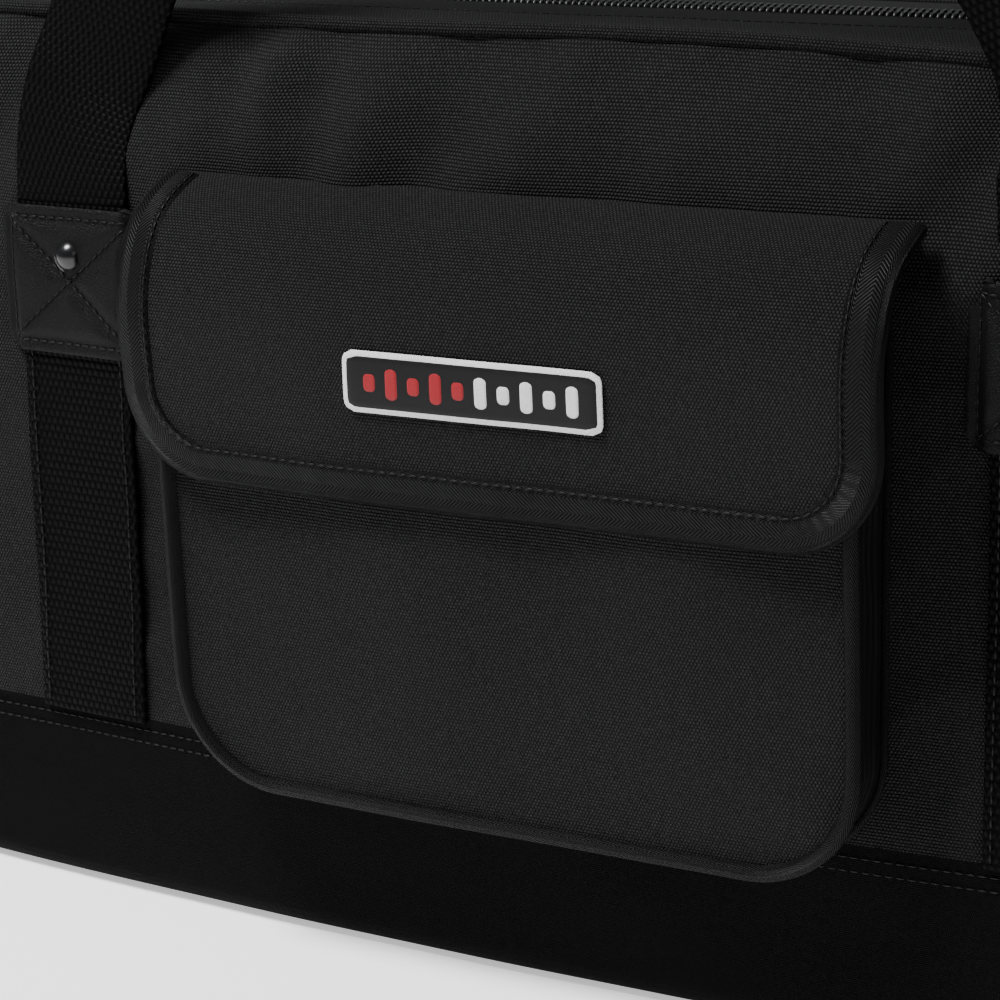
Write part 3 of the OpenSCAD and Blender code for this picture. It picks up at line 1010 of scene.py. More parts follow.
        cord = Bench.tube(
            f"end_piping_{hand.name.lower()}", path, 0.74, 2.2 * MM, 220, 10, 1.0
        )
        Bench.dress(cord, self.looks.tape, "edge_tape", "bag")
        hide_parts(f"piping_{hand.name.lower()}")

    def underside(self) -> None:
        """The cloth under the bag, on its stiff board."""
        s = self.shape
        reach = s.half - 5 * MM

        def place(a: float, b: float) -> Vector:
            x = (a * 2 - 1) * reach
            half = s.wall(x, 8 * MM) - self.edge_r - 1 * MM
            sag = (1 - abs(b * 2 - 1) ** 6) * 0.35 * MM
            return Vector((x, (b * 2 - 1) * half, 0.45 * MM - sag))

        piece = Bench.cloth("under_cloth", (60, 16), place, (reach * 2, 0.14), Vector((0, 0, -1)))
        Bench.thicken(piece, 1.2 * MM, False)
        Bench.dress(piece, self.looks.band, "band_cloth", "bag")
        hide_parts("base_panel")

    def inside(self) -> None:
        """The lining, a loose tray of cloth over foam, seen when the mouth is open."""
        s = self.shape
        reach = s.half - 12 * MM

        def place(a: float, b: float) -> Vector:
            x = (a * 2 - 1) * reach
            turn = b * 2 - 1
            climb = abs(turn)
            if climb < 0.22:
                y = turn / 0.22 * (s.wall(x, 12 * MM) - 13 * MM)
                z = 6.6 * MM + (climb / 0.22) ** 4 * 3 * MM
            else:
                rise = (climb - 0.22) / 0.78
                z = 10 * MM + rise * (s.top - 13 * MM)
                y = math.copysign(s.wall(x, min(z, s.top - 1 * MM)) - 8.6 * MM, turn)
            fold = lump(x * 13, z * 17 + turn, 31.0) * 1.1 * MM
            return Vector((x, y - math.copysign(abs(fold), turn), z + (fold if climb < 0.2 else 0) * 0.3))

        piece = Bench.cloth("lining_cloth", (120, 90), place, (reach * 2, 0.62), Vector((0, 0, 1)))
        Bench.thicken(piece, 0.8 * MM, False)
        Bench.dress(piece, self.looks.lining, "lining", "bag")
        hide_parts("lining")
        for hand in Hand:
            self.lined_end(hand, reach)

    def lined_end(self, hand: Hand, reach: float) -> None:
        """The lining across one end."""
        s = self.shape

        def place(a: float, b: float) -> Vector:
            z = 6 * MM + b * (s.top - 9 * MM)
            half = s.wall(reach, z) - 8.4 * MM
            full = math.sin(math.pi * a) * math.sin(math.pi * b) * 3 * MM
            return Vector((hand.value * (reach - 0.5 * MM - full), (a * 2 - 1) * half, z))

        title = f"lining_end_{hand.name.lower()}"
        piece = Bench.cloth(title, (24, 40), place, (0.12, 0.25), Vector((-hand.value, 0, 0)))
        Bench.thicken(piece, 0.8 * MM, False)
        Bench.dress(piece, self.looks.lining, "lining", "bag")


@dataclass
class TopEdge:
    """The piped edges, the two sides of the zipped mouth, the zip and its slider."""

    shape: BagShape
    looks: Finishes
    half_mouth: float = 262 * MM
    level: float = 254.75 * MM
    strip_in: float = 21.6 * MM
    strip_out: float = 38.8 * MM
    tooth_pitch: float = 2.0 * MM

    def build(self) -> None:
        """Makes the whole top."""
        for side in Side:
            self.piping(side)
            self.strip(side)
            self.coil(side)
        for hand in Hand:
            self.fixed_end(hand)
        self.slider()

    def piping(self, side: Side) -> None:
        """The cord along a long edge of the top."""
        s = self.shape

        def path(a: float) -> Vector:
            x = (a * 2 - 1) * (s.half - 5 * MM)
            wave = lump(x * 18, 0.0, 41.0 + side.value) * 0.7 * MM
            z = s.top - 0.3 * MM + wave * 0.4 - s.sag(x)
            return Vector((x, side.value * (s.mouth + wave * 0.5), z))

        name = "front" if side is Side.FRONT else "rear"
        cord = Bench.tube(f"top_piping_{name}", path, 0.6, 2.2 * MM, 200, 12)
        Bench.dress(cord, self.looks.cloth, "edge_tape", "bag")
        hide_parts(f"piping_{name}")

    def strip(self, side: Side) -> None:
        """The cloth between the piping and the zip tape, with its folded, sewn edge."""
        name = side.name.lower()
        body = f"mouth_{name}"

        def top(x: float, y: float) -> float:
            wave = lump(x * 40, y * 60, 51.0 + side.value) * 0.35 * MM
            crown = math.sin(math.pi * ease((self.strip_out - y) / 0.018)) * 0.5 * MM
            outer = ease((y - self.strip_in) / (self.strip_out - self.strip_in))
            return self.level + 0.9 * MM + wave + crown - self.shape.sag(x) * outer

        def place(a: float, b: float) -> Vector:
            x = (a * 2 - 1) * (self.half_mouth - 0.3 * MM)
            y = self.strip_in + b * (self.strip_out - self.strip_in)
            wave = lump(x * 25, 9.0, 55.0) * 0.4 * MM * (1 - b)
            return Vector((x, side.value * (y + wave), top(x, y)))

        width = self.strip_out - self.strip_in
        cloth = Bench.cloth(
            f"mouth_cloth_{name}", (220, 8), place, (self.half_mouth * 2, width), Vector((0, 0, 1))
        )
        Bench.thicken(cloth, 1.5 * MM)
        Bench.dress(cloth, self.looks.cloth, "ballistic_cloth", body)
        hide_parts(f"top_strip_{name}")
        row = [
            Vector((x, side.value * (self.strip_in + 2 * MM), top(x, self.strip_in + 2 * MM)))
            for x in [(-1 + 2 * i / 120) * (self.half_mouth - 1 * MM) for i in range(121)]
        ]
        sewn = Bench.stitches(f"mouth_stitches_{name}", [row], lambda p: Vector((0, 0, 1)))
        Bench.dress(sewn, self.looks.thread, "ballistic_cloth", body)

        def flat(a: float, b: float) -> Vector:
            x = (a * 2 - 1) * (self.half_mouth - 0.3 * MM)
            y = 3.4 * MM + b * 19.5 * MM
            wave = lump(x * 30, y * 50, 61.0 + side.value) * 0.25 * MM
            return Vector((x, side.value * y, self.level + 0.35 * MM + wave * (1 - abs(b - 0.5))))

        tape = Bench.cloth(
            f"zip_tape_{name}", (200, 8), flat, (self.half_mouth * 2, 0.0195), Vector((0, 0, 1))
        )
        Bench.thicken(tape, 0.6 * MM, False)
        Bench.dress(tape, self.looks.zip_tape, "zip_tape", body)
        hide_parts(f"zip_tape_{name}")

    def tooth(self, side: Side, start: float) -> bpy.types.Object:
        """One turn of the coil: a flattened loop that reaches over the middle."""
        Bench.clear()
        bpy.ops.mesh.primitive_torus_add(
            major_segments=12, minor_segments=6, major_radius=1.45 * MM, minor_radius=0.42 * MM
        )
        loop = bpy.context.object
        loop.rotation_euler = (math.pi / 2, 0, math.pi / 2)
        Bench.settle(loop)
        loop.data.transform(Matrix.Diagonal((1.35, 1.5, 0.95, 1)))
        shift = 1.0 * MM if side is Side.REAR else 0.0
        loop.data.transform(Matrix.Translation((start + shift, side.value * 2.15 * MM, self.level)))
        return loop

    def coil(self, side: Side) -> None:
        """One half of the coil zip, turn by turn."""
        name = side.name.lower()
        start = -self.half_mouth + 1.6 * MM
        loop = self.tooth(side, start)
        count = int((self.half_mouth * 2 - 4 * MM) / self.tooth_pitch)
        Bench.apply(
            loop,
            "ARRAY",
            count=count,
            use_relative_offset=False,
            use_constant_offset=True,
            constant_offset_displace=(self.tooth_pitch, 0, 0),
        )
        Bench.name(loop, f"zip_teeth_{name}")
        Bench.smooth(loop, 60)
        Bench.dress(loop, self.looks.coil, "zip_coil", f"mouth_{name}")
        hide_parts(f"zip_coil_{name}")

    def fixed_end(self, hand: Hand) -> None:
        """The cloth past the mouth, and the short end of the zip that is sewn to it."""
        s = self.shape
        name = hand.name.lower()
        first, last = self.half_mouth + 1.2 * MM, s.half - 4 * MM

        def place(a: float, b: float) -> Vector:
            x = first + a * (last - first)
            y = (b * 2 - 1) * self.strip_out
            wave = lump(x * 40, y * 40, 71.0 + hand.value) * 0.3 * MM
            return Vector((hand.value * x, y, self.level + 0.5 * MM + wave * 0.6))

        cloth = Bench.cloth(f"top_cloth_{name}", (30, 40), place, (0.038, 0.078), Vector((0, 0, 1)))
        Bench.pick(cloth)
        bpy.ops.object.mode_set(mode="EDIT")
        bpy.ops.mesh.select_all(action="DESELECT")
        bpy.ops.object.mode_set(mode="OBJECT")
        for face in cloth.data.polygons:
            c = face.center
            face.select = abs(c.y) < 7.4 * MM and abs(c.x) < self.half_mouth + 28 * MM
        Bench.pick(cloth)
        bpy.ops.object.mode_set(mode="EDIT")
        bpy.ops.mesh.delete(type="FACE")
        bpy.ops.object.mode_set(mode="OBJECT")
        Bench.thicken(cloth, 1.5 * MM)
        Bench.dress(cloth, self.looks.cloth, "ballistic_cloth", "bag")
        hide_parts(f"top_end_{name}")
        rows = []
        for k in (-1, 1):
            rows.append(
                [
                    Vector((hand.value * (first + t * 28 * MM / 10), k * 9.6 * MM, self.level + 0.8 * MM))
                    for t in range(11)
                ]
            )
        x = hand.value * (self.half_mouth + 30.5 * MM)
        rows.append([Vector((x, y * MM, self.level + 0.8 * MM)) for y in (-9, -3, 3, 9)])
        sewn = Bench.stitches(f"zip_end_stitches_{name}", rows, lambda p: Vector((0, 0, 1)))
        Bench.dress(sewn, self.looks.thread, "ballistic_cloth", "bag")
        parts = []
        for side in Side:
            at = first + 1 * MM if hand is Hand.RIGHT else -(first + 25.5 * MM)
            loop = self.tooth(side, at)
            loop.data.transform(Matrix.Diagonal((1, 0.62, 1, 1)))
            loop.data.transform(Matrix.Translation((0, side.value * 1.2 * MM, 0)))
            Bench.apply(
                loop,
                "ARRAY",
                count=12,
                use_relative_offset=False,
                use_constant_offset=True,
                constant_offset_displace=(self.tooth_pitch, 0, 0),
            )
            parts.append(loop)
        Bench.clear()
        bpy.ops.mesh.primitive_cube_add(
            size=1, location=(hand.value * (self.half_mouth + 26.8 * MM), 0, self.level)
        )
        stop = bpy.context.object
        stop.scale = (2.4 * MM, 10 * MM, 3.2 * MM)
        Bench.settle(stop)
        Bench.apply(stop, "BEVEL", width=0.8 * MM, segments=3)
        parts.append(stop)
        teeth = Bench.join(parts, f"zip_end_teeth_{name}")
        Bench.smooth(teeth, 60)
        Bench.dress(teeth, self.looks.coil, "zip_coil", "bag")
        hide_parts(f"zip_end_{name}")

        halves = []
        for side in Side:

            def flat(a: float, b: float, side: Side = side) -> Vector:
                x = first + a * 27 * MM
                y = 4.4 * MM + b * 4.0 * MM
                return Vector((hand.value * x, side.value * y, self.level - 0.3 * MM))

            half = Bench.cloth("zip_end_half", (20, 6), flat, (0.027, 0.004), Vector((0, 0, 1)))
            Bench.thicken(half, 0.5 * MM, False)
            halves.append(half)
        tape = Bench.join(halves, f"zip_end_tape_{name}")
        Bench.dress(tape, self.looks.zip_tape, "zip_tape", "bag")

    def slider(self) -> None:
        """The slider and its pull keep their CAD shape, in black nickel."""
        for name in ("slider_body", "slider_pull"):
            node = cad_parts[name]
            node.data.materials.clear()
            node.data.materials.append(self.looks.metal)


@dataclass
class CarryWebbing:
    """Sewn straps, patches, rivets and one handle loop, on one long face."""

    shape: BagShape
    looks: Finishes
    side: Side
    width: float = 38 * MM
    thick: float = 2.4 * MM
    patch: tuple[float, float] = (50 * MM, 42 * MM)
    patch_top: float = 203 * MM
    hinge: Vector = field(default_factory=lambda: Vector((0, 66.54, 206.2)) * MM)
    stand: float = 57.5 * MM

    def build(self) -> None:
        """Makes the webbing of one face."""
        for hand in Hand:
            self.strap(hand)
            self.reinforcement(hand)
            self.rivet(hand)
        self.handle()
        self.grip()

    def label(self, hand: Hand) -> str:
        """The end of this piece's names."""
        return f"{self.side.name.lower()}_{hand.name.lower()}"

    def centre(self, hand: Hand) -> float:
        """Where the strap's middle is along the bag."""
        return hand.value * self.shape.strap_x

    def strap(self, hand: Hand) -> None:
        """The webbing sewn down the face into the band's seam."""
        s, x0 = self.shape, self.centre(hand)
        low, high = s.band - 1 * MM, self.patch_top - 2 * MM

        def place(a: float, b: float) -> Vector:
            z = low + a * (high - low)
            w = (b * 2 - 1) * self.width / 2
            crown = (1 - (b * 2 - 1) ** 6) * 0.5 * MM
            sway = lump(z * 14, x0 * 10, 81.0 + self.side.value) * 0.8 * MM
            return s.calm(x0 + w + sway, z, self.side, self.thick - 0.3 * MM + crown)

        piece = Bench.cloth(
            f"strap_web_{self.label(hand)}",
            (90, 20),
            place,
            (high - low, self.width),
            Vector((0, self.side.value, 0)),
        )
        Bench.thicken(piece, self.thick)
        Bench.dress(piece, self.looks.webbing, "webbing", "bag")
        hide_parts(f"strap_{self.label(hand)}")
        rows = []
        for k in (-1, 1):
            rows.append(
                [
                    s.calm(x0 + k * (self.width / 2 - 3 * MM), z, self.side, self.thick + 0.2 * MM)
                    for z in [low + 2 * MM + i * (high - low - 4 * MM) / 40 for i in range(41)]
                ]
            )
        sewn = Bench.stitches(
            f"strap_stitches_{self.label(hand)}", rows, lambda p: Vector((0, self.side.value, 0))
        )
        Bench.dress(sewn, self.looks.thread, "webbing", "bag")

    def patch_point(self, hand: Hand, across: float, down: float, out: float = 0.0) -> Vector:
        """A point on the patch's outer face.

        Args:
            hand: which strap.
            across: distance from the patch's middle.
            down: distance below its top.
            out: distance out from its face.

        Returns:
            The point.
        """
        x = self.centre(hand) + across
        over = ease((self.width / 2 + 3.4 * MM - abs(across)) / (4.2 * MM))
        lift = 1.5 * MM + over * (self.thick + 0.4 * MM) + out
        return self.shape.calm(x, self.patch_top - down, self.side, lift)

    def reinforcement(self, hand: Hand) -> None:
        """The coated patch with its box and cross of stitches."""
        w, h = self.patch
        r = 5 * MM

        def place(a: float, b: float) -> Vector:
            down = (1 - b) * h
            near = min(down, h - down)
            half = w / 2
            if near < r:
                half = w / 2 - r + math.sqrt(max(0.0, r * r - (r - near) ** 2))
            across = (a * 2 - 1) * half
            inner_w, inner_h = w / 2 - 3.2 * MM, h / 2 - 3.2 * MM
            u, v = abs(across), abs(down - h / 2)
            frame_gap = min(abs(u - inner_w), abs(v - inner_h))
            cross_gap = abs(u * inner_h - v * inner_w) / math.hypot(inner_w, inner_h)
            inside = u < inner_w and v < inner_h
            gap = min(frame_gap, cross_gap) if inside else frame_gap
            puff = (1 - math.exp(-((gap / (2.4 * MM)) ** 2))) * (1.1 if inside else 0.9) * MM
            rim = ease(min(near, half - u) / (1.5 * MM))
            return self.patch_point(hand, across, down, puff * rim)

        piece = Bench.cloth(
            f"patch_{self.label(hand)}_skin", (44, 40), place, (w, h), Vector((0, self.side.value, 0))
        )
        Bench.thicken(piece, 1.3 * MM)
        Bench.dress(piece, self.looks.leather, "leatherette", "bag")
        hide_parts(f"patch_{self.label(hand)}")
        e = 3.2 * MM
        box = [(-w / 2 + e, e), (w / 2 - e, e), (w / 2 - e, h - e), (-w / 2 + e, h - e), (-w / 2 + e, e)]
        lines = [box, [box[0], box[2]], [box[1], box[3]]]
        rows = []
        for line in lines:
            row = []
            for (xa, da), (xb, db) in zip(line, line[1:]):
                for i in range(13):
                    t = i / 12
                    row.append(
                        self.patch_point(hand, xa + (xb - xa) * t, da + (db - da) * t, 0.15 * MM)
                    )
            rows.append([p for i, p in enumerate(row) if i == 0 or (p - row[i - 1]).length > 1e-6])
        sewn = Bench.stitches(
            f"patch_stitches_{self.label(hand)}", rows, lambda p: Vector((0, self.side.value, 0))
        )
        Bench.dress(sewn, self.looks.thread, "leatherette", "bag")

    def rivet(self, hand: Hand) -> None:
        """A domed rivet cap on a thin washer."""
        low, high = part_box(f"rivet_{self.label(hand)}")
        mid = (low + high) / 2
        base = self.patch_point(hand, 0, self.patch_top - mid.z, 0.2 * MM)
        Bench.clear()
        bpy.ops.mesh.primitive_uv_sphere_add(segments=40, ring_count=20, radius=4.5 * MM)
        cap = bpy.context.object
        Bench.pick(cap)
        bpy.ops.object.mode_set(mode="EDIT")
        bpy.ops.mesh.select_all(action="SELECT")
        bpy.ops.mesh.bisect(
            plane_co=(0, 0, 1.2 * MM), plane_no=(0, 0, 1), clear_inner=True, use_fill=True
        )
        bpy.ops.object.mode_set(mode="OBJECT")
        cap.data.transform(Matrix.Translation((0, 0, -1.2 * MM)))
        cap.data.transform(Matrix.Diagonal((1, 1, 0.95, 1)))
        Bench.clear()
        bpy.ops.mesh.primitive_cylinder_add(vertices=48, radius=5.1 * MM, depth=0.7 * MM)
        washer = bpy.context.object
        Bench.apply(washer, "BEVEL", width=0.25 * MM, segments=3)
        piece = Bench.join([cap, washer], f"rivet_cap_{self.label(hand)}")
        turn = Matrix.Rotation(math.radians(-90 * self.side.value), 4, "X")
        piece.data.transform(Matrix.Translation(base) @ turn)
        Bench.smooth(piece, 35)
        Bench.dress(piece, self.looks.rivet, "rivet_metal", "bag")
        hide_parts(f"rivet_{self.label(hand)}")

    def loop_line(self) -> Profile:
        """The handle's middle line seen from the front, from one patch over to the other."""
        lean, x0 = math.radians(25), self.shape.strap_x
        z = self.hinge.z
        bend = [(60 * MM * math.cos(t) + x0 - 60 * MM, z + 8 * MM + 60 * MM * math.sin(t))
                for t in [lean * i / 4 for i in range(5)]]
        x1, z1 = bend[-1]
        x2, z2 = x1 - 96 * MM * math.sin(lean), z1 + 96 * MM * math.cos(lean)
        cx, cz = x2 - 45 * MM * math.cos(lean), z2 - 45 * MM * math.sin(lean)
        crook = [(cx + 45 * MM * math.cos(t), cz + 45 * MM * math.sin(t))
                 for t in [lean + (math.pi / 2 - lean) * i / 10 for i in range(11)]]
        half = [(x0, self.patch_top - 7 * MM), (x0, z + 4 * MM)] + bend + crook + [(0.0, cz + 45 * MM)]
        return Profile(half + [(-x, z) for x, z in reversed(half[:-1])], 2)

    def stand_off(self, x: float, z: float) -> float:
        """How far the handle's webbing lies from the middle of the bag at a height."""
        foot = self.shape.wall(x, z, self.side) + 2.0 * MM
        if z < self.hinge.z:
            return foot
        rise = ease((z - self.hinge.z) / (60 * MM))
        return foot * (1 - rise) + self.stand * rise + math.sin(math.pi * min(1, rise)) * 1.5 * MM

    def handle(self) -> None:
        """The free loop of webbing."""
        line = self.loop_line()

        def place(a: float, b: float) -> Vector:
            spot, ahead = line.at(a * line.length)
            w = (b * 2 - 1) * self.width / 2
            squeeze = 1 - 0.10 * ease((spot.y - 300 * MM) / (40 * MM))
            p = spot + Vector((ahead.y, -ahead.x)) * w * squeeze
            if spot.x > 0 and self.side is Side.FRONT:
                rise = ease((spot.y - 226 * MM) / (36 * MM)) * ease((330 * MM - spot.y) / (70 * MM))
                p.x += rise * 10 * MM
            y = self.stand_off(spot.x, spot.y)
            crown = (1 - (b * 2 - 1) ** 6) * 0.5 * MM
            cup = (b * 2 - 1) ** 2 * 1.6 * MM * ease((spot.y - 225 * MM) / (50 * MM))
            return Vector((p.x, self.side.value * (y + self.thick / 2 + crown - cup), p.y))

        name = self.side.name.lower()
        piece = Bench.cloth(
            f"handle_loop_{name}",
            (260, 20),
            place,
            (line.length, self.width),
            Vector((0, self.side.value, 0)),
        )
        Bench.thicken(piece, self.thick)
        Bench.dress(piece, self.looks.webbing, "webbing", None)
        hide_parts(f"handle_web_{name}")
        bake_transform(piece)

    def grip(self) -> None:
        """A padded sleeve round the top of the loop."""
        name = self.side.name.lower()
        low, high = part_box(f"handle_grip_{name}")
        mid, size = (low + high) / 2, high - low

        def place(a: float, b: float) -> Vector:
            x = low.x + a * size.x
            turn = 2 * math.pi * b
            end = min(a, 1 - a) * size.x
            pinch = 0.90 + 0.10 * ease(end / (7 * MM))
            c, d = math.cos(turn), math.sin(turn)
            y = math.copysign(abs(c) ** 0.75, c) * size.y / 2 * pinch
            z = math.copysign(abs(d) ** 0.45, d) * size.z / 2 * (0.97 + 0.03 * pinch)
            soft = lump(x * 30, turn, 91.0 + self.side.value) * 0.4 * MM
            return Vector((x, mid.y + y + soft * c, mid.z + z))

        sleeve = Bench.cloth(
            f"grip_sleeve_{name}", (60, 48), place, (size.x, 2 * (size.y + size.z)), wrap=True
        )
        Bench.dress(sleeve, self.looks.leather, "leatherette", f"handle_{name}")
        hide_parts(f"handle_grip_{name}")
        rows = []
        for k in (-1, 1):
            x = k * (size.x / 2 - 5 * MM)
            out = self.side.value * (abs(mid.y) + size.y / 2 * 0.97)
            rows.append([Vector((x, out, mid.z + d * MM)) for d in (-16, -8, 0, 8, 16)])
        sewn = Bench.stitches(
            f"grip_stitches_{name}", rows, lambda p: Vector((0, self.side.value, 0))
        )
        Bench.dress(sewn, self.looks.thread, "leatherette", f"handle_{name}")


@dataclass
class FlapPocket:
    """The pocket on the front: body, gusset, piping, flap, binding and label."""

    shape: BagShape
    looks: Finishes
    half: float = 103 * MM
    low: float = 48 * MM
    corner: float = 32 * MM
    out: float = 89 * MM
    flap_half: float = 111.5 * MM
    flap_top: float = 214 * MM
    flap_low: float = 137 * MM
    flap_corner: float = 27 * MM
    drape: "Profile" = field(init=False)

    def build(self) -> None:
        """Makes the pocket and its flap."""
        self.front()
        self.edge()
        self.gusset()
        self.flap()
        self.binding()
        self.label()
        self.fasteners()

    def rim(self, inset: float, top: float = 176 * MM) -> Profile:
        """The pocket's outline from its left top corner round to its right."""
        w, b, r = self.half - inset, self.low + inset, self.corner - inset
        arc = [(-w + r - r * math.cos(t), b + r - r * math.sin(t))
               for t in [math.pi / 2 * i / 10 for i in range(11)]]
        left = [(-w, top), (-w, b + r + 40 * MM), *arc]
        return Profile(left + [(-x, z) for x, z in reversed(left)], 1)

    def bulge(self, x: float, z: float) -> float:
        """How far the pocket's front stands at a place, with its slack folds."""
        u, v = x / self.half, (z - self.low) / (176 * MM - self.low)
        dome = max(0.0, 1 - u**4) * max(0.0, 1 - (2 * v - 1) ** 4) ** 0.5 if 0 < v < 1 else 0
        soft = lump(x * 16, z * 18, 101.0) * 2.4 * MM + lump(x * 34 + z * 22, z * 32, 102.0) * 0.8 * MM
        edge = ease((self.half - abs(x)) / (14 * MM)) * ease((z - self.low) / (14 * MM))
        return self.out - 0.8 * MM + dome * 2.2 * MM + soft * edge

    def front(self) -> None:
        """The pocket's front cloth inside its piping."""
        w, b, r = self.half - 2.2 * MM, self.low + 2.2 * MM, self.corner - 2.2 * MM
        top = 176 * MM

        def place(a: float, c: float) -> Vector:
            z = b + c * (top - b)
            near = z - b
            half = w if near >= r else w - r + math.sqrt(max(0.0, r * r - (r - near) ** 2))
            x = (a * 2 - 1) * half
            return Vector((x, -self.bulge(x, z), z))

        piece = Bench.cloth(
            "pocket_cloth", (120, 80), place, (w * 2, top - b), Vector((0, -1, 0))
        )
        self.straight_chart(piece)
        Bench.thicken(piece, 1.5 * MM, False)
        Bench.dress(piece, self.looks.cloth, "ballistic_cloth", "bag")
        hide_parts("pocket_front")

    @staticmethod
    def straight_chart(piece: bpy.types.Object) -> None:
        """Lays the chart straight along X and Z, as cloth is cut."""
        layer = piece.data.uv_layers["cloth"]
        for loop in piece.data.loops:
            co = piece.data.vertices[loop.vertex_index].co
            layer.data[loop.index].uv = (co.x, co.z)

    def edge(self) -> None:
        """The taped piping round the pocket, and the seam against the bag."""
        line = self.rim(1.6 * MM)

        def path(a: float) -> Vector:
            p, _ = line.at(a * line.length)
            wave = lump(p.x * 22, p.y * 22, 111.0) * 0.5 * MM
            return Vector((p.x, -(self.out - 0.4 * MM + wave), p.y))

        cord = Bench.tube("pocket_piping_cord", path, line.length, 2.35 * MM, 240, 12)
        Bench.dress(cord, self.looks.tape, "edge_tape", "bag")
        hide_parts("pocket_piping")
        base = self.rim(0.5 * MM, 198 * MM)

        def seam(a: float) -> Vector:
            p, _ = base.at(a * base.length)
            return self.shape.calm(p.x, p.y, Side.FRONT, 0.7 * MM)

        hem = Bench.tube("pocket_back_seam", seam, base.length, 1.1 * MM, 200, 8)
        Bench.dress(hem, self.looks.tape, "edge_tape", "bag")

    def gusset(self) -> None:
        """The band of tape that gives the pocket its depth."""
        line = self.rim(1.4 * MM, 190 * MM)

        def place(a: float, b: float) -> Vector:
            p, ahead = line.at(a * line.length)
            back = self.shape.calm(p.x, p.y, Side.FRONT, 0.2 * MM).y
            fore = -(self.out - 1.5 * MM)
            if p.y > 176 * MM:
                fore = fore + (p.y - 176 * MM) * 1.1
            sink = math.sin(math.pi * b) * (1.6 * MM + lump(a * 30, b * 2, 121.0) * 0.9 * MM)
            inward = Vector((-ahead.y, ahead.x)) * sink
            return Vector((p.x + inward.x, back + (fore - back) * b, p.y + inward.y))

        piece = Bench.cloth("pocket_side_tape", (200, 12), place, (line.length, 0.029))
        self.face_out(piece, Vector((0, -0.085, 0.12)))
        Bench.thicken(piece, 1.2 * MM, False)
        Bench.dress(piece, self.looks.tape, "band_cloth", "bag")
        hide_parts("pocket_gusset")

    @staticmethod
    def face_out(piece: bpy.types.Object, centre: Vector) -> None:
        """Turns the faces away from a centre."""
        total = sum(
            (p.area * p.normal.dot(p.center - centre) for p in piece.data.polygons), 0.0
        )
        if total < 0:
            Bench.pick(piece)
            bpy.ops.object.mode_set(mode="EDIT")
            bpy.ops.mesh.select_all(action="SELECT")
            bpy.ops.mesh.flip_normals()
            bpy.ops.object.mode_set(mode="OBJECT")

    def hang(self) -> Profile:
        """The flap's path from its fold, out over the pocket and down."""
        y0 = self.shape.wall(0, self.flap_top) + 1.2 * MM
        return Profile(
            [
                (y0 - 0.3 * MM, self.flap_top + 1.5 * MM),
                (y0 + 6 * MM, self.flap_top + 0.5 * MM),
                (85.5 * MM, self.flap_top - 6 * MM),
                (94.4 * MM, self.flap_top - 25 * MM),
                (95.2 * MM, 168 * MM),
                (94.4 * MM, self.flap_low),
            ],
            3,
        )

    def flap_point(self, x: float, run: float, out: float = 0.0) -> Vector:
        """A point on the flap's outer face.

        Args:
            x: place along the bag.
            run: distance down from the fold.
            out: distance out from the face.

        Returns:
            The point.
        """
        line = self.drape
        spot, ahead = line.at(run)
        across = Vector((-ahead.y, ahead.x))
        if across.x < 0:
            across = -across
        hang = ease((run - 20 * MM) / (50 * MM))
        soft = lump(x * 13, run * 16, 131.0) * 2.2 * MM + lump(x * 34, run * 24, 132.0) * 0.7 * MM
        close = (x / self.flap_half) ** 4 * 2.2 * MM * hang
        start = ease(run / (10 * MM))
        curve = self.shape.wall(0, self.flap_top) - self.shape.wall(x, self.flap_top)
        curve *= 1 - ease(run / (45 * MM)) * 0.8
        p = spot + across * (out + soft * hang * start - close)
        return Vector((x, -(p.x - curve), p.y))

    def flap(self) -> None:
        """The flap's cloth inside its binding."""
        self.drape = self.hang()
        total = self.drape.length
        inset = 5 * MM
        w, r = self.flap_half - inset, self.flap_corner - inset

        def place(a: float, b: float) -> Vector:
            run = (1 - b) * (total - inset)
            near = total - inset - run
            half = w if near >= r else w - r + math.sqrt(max(0.0, r * r - (r - near) ** 2))
            return self.flap_point((a * 2 - 1) * half, run)

        piece = Bench.cloth("flap_cloth", (130, 80), place, (w * 2, total), Vector((0, -1, 0.3)))
        layer = piece.data.uv_layers["cloth"]
        for loop in piece.data.loops:
            co = piece.data.vertices[loop.vertex_index].co
            layer.data[loop.index].uv = (co.x, layer.data[loop.index].uv[1])
        Bench.thicken(piece, 2.4 * MM)
        Bench.dress(piece, self.looks.cloth, "ballistic_cloth", None)
        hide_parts("flap_shell")
        y = -self.shape.wall(0, self.flap_top)
        y + 0.5 * MM
        y - 6 * MM
        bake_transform(piece)

    def binding_line(self, inset: float) -> Profile:
        """The flap's edge in its own flat chart: along the bag, and down from the fold."""
        total, r = self.drape.length - inset, self.flap_corner - inset
        w = self.flap_half - inset
        arc = [(-w + r - r * math.cos(t), total - r + r * math.sin(t))
               for t in [math.pi / 2 * i / 10 for i in range(11)]]
        left = [(-w, 3 * MM), (-w, total - r - 30 * MM), *arc]
        return Profile(left + [(-x, d) for x, d in reversed(left)], 1)

    def binding(self) -> None:
        """The tape folded over the flap's edge, and its row of stitches."""
        reach = 11.5 * MM
        line = self.binding_line(0.0)

        def place(a: float, b: float) -> Vector:
            p, ahead = line.at(a * line.length)
            inward = Vector((ahead.y, -ahead.x))
            if inward.dot(Vector((0, 60 * MM)) - p) < 0:
                inward = -inward
            turn = 2 * math.pi * b
            c, d = math.cos(turn), math.sin(turn)
            deep = reach / 2 * (1 - math.copysign(abs(c) ** 0.6, c))
            q = p + inward * deep
            lift = math.copysign(abs(d) ** 0.5, d) * 2.0 * MM - 1.2 * MM
            ripple = lump(a * 60, b * 3, 141.0) * 0.25 * MM
            return self.flap_point(q.x, q.y, lift + ripple * abs(d))

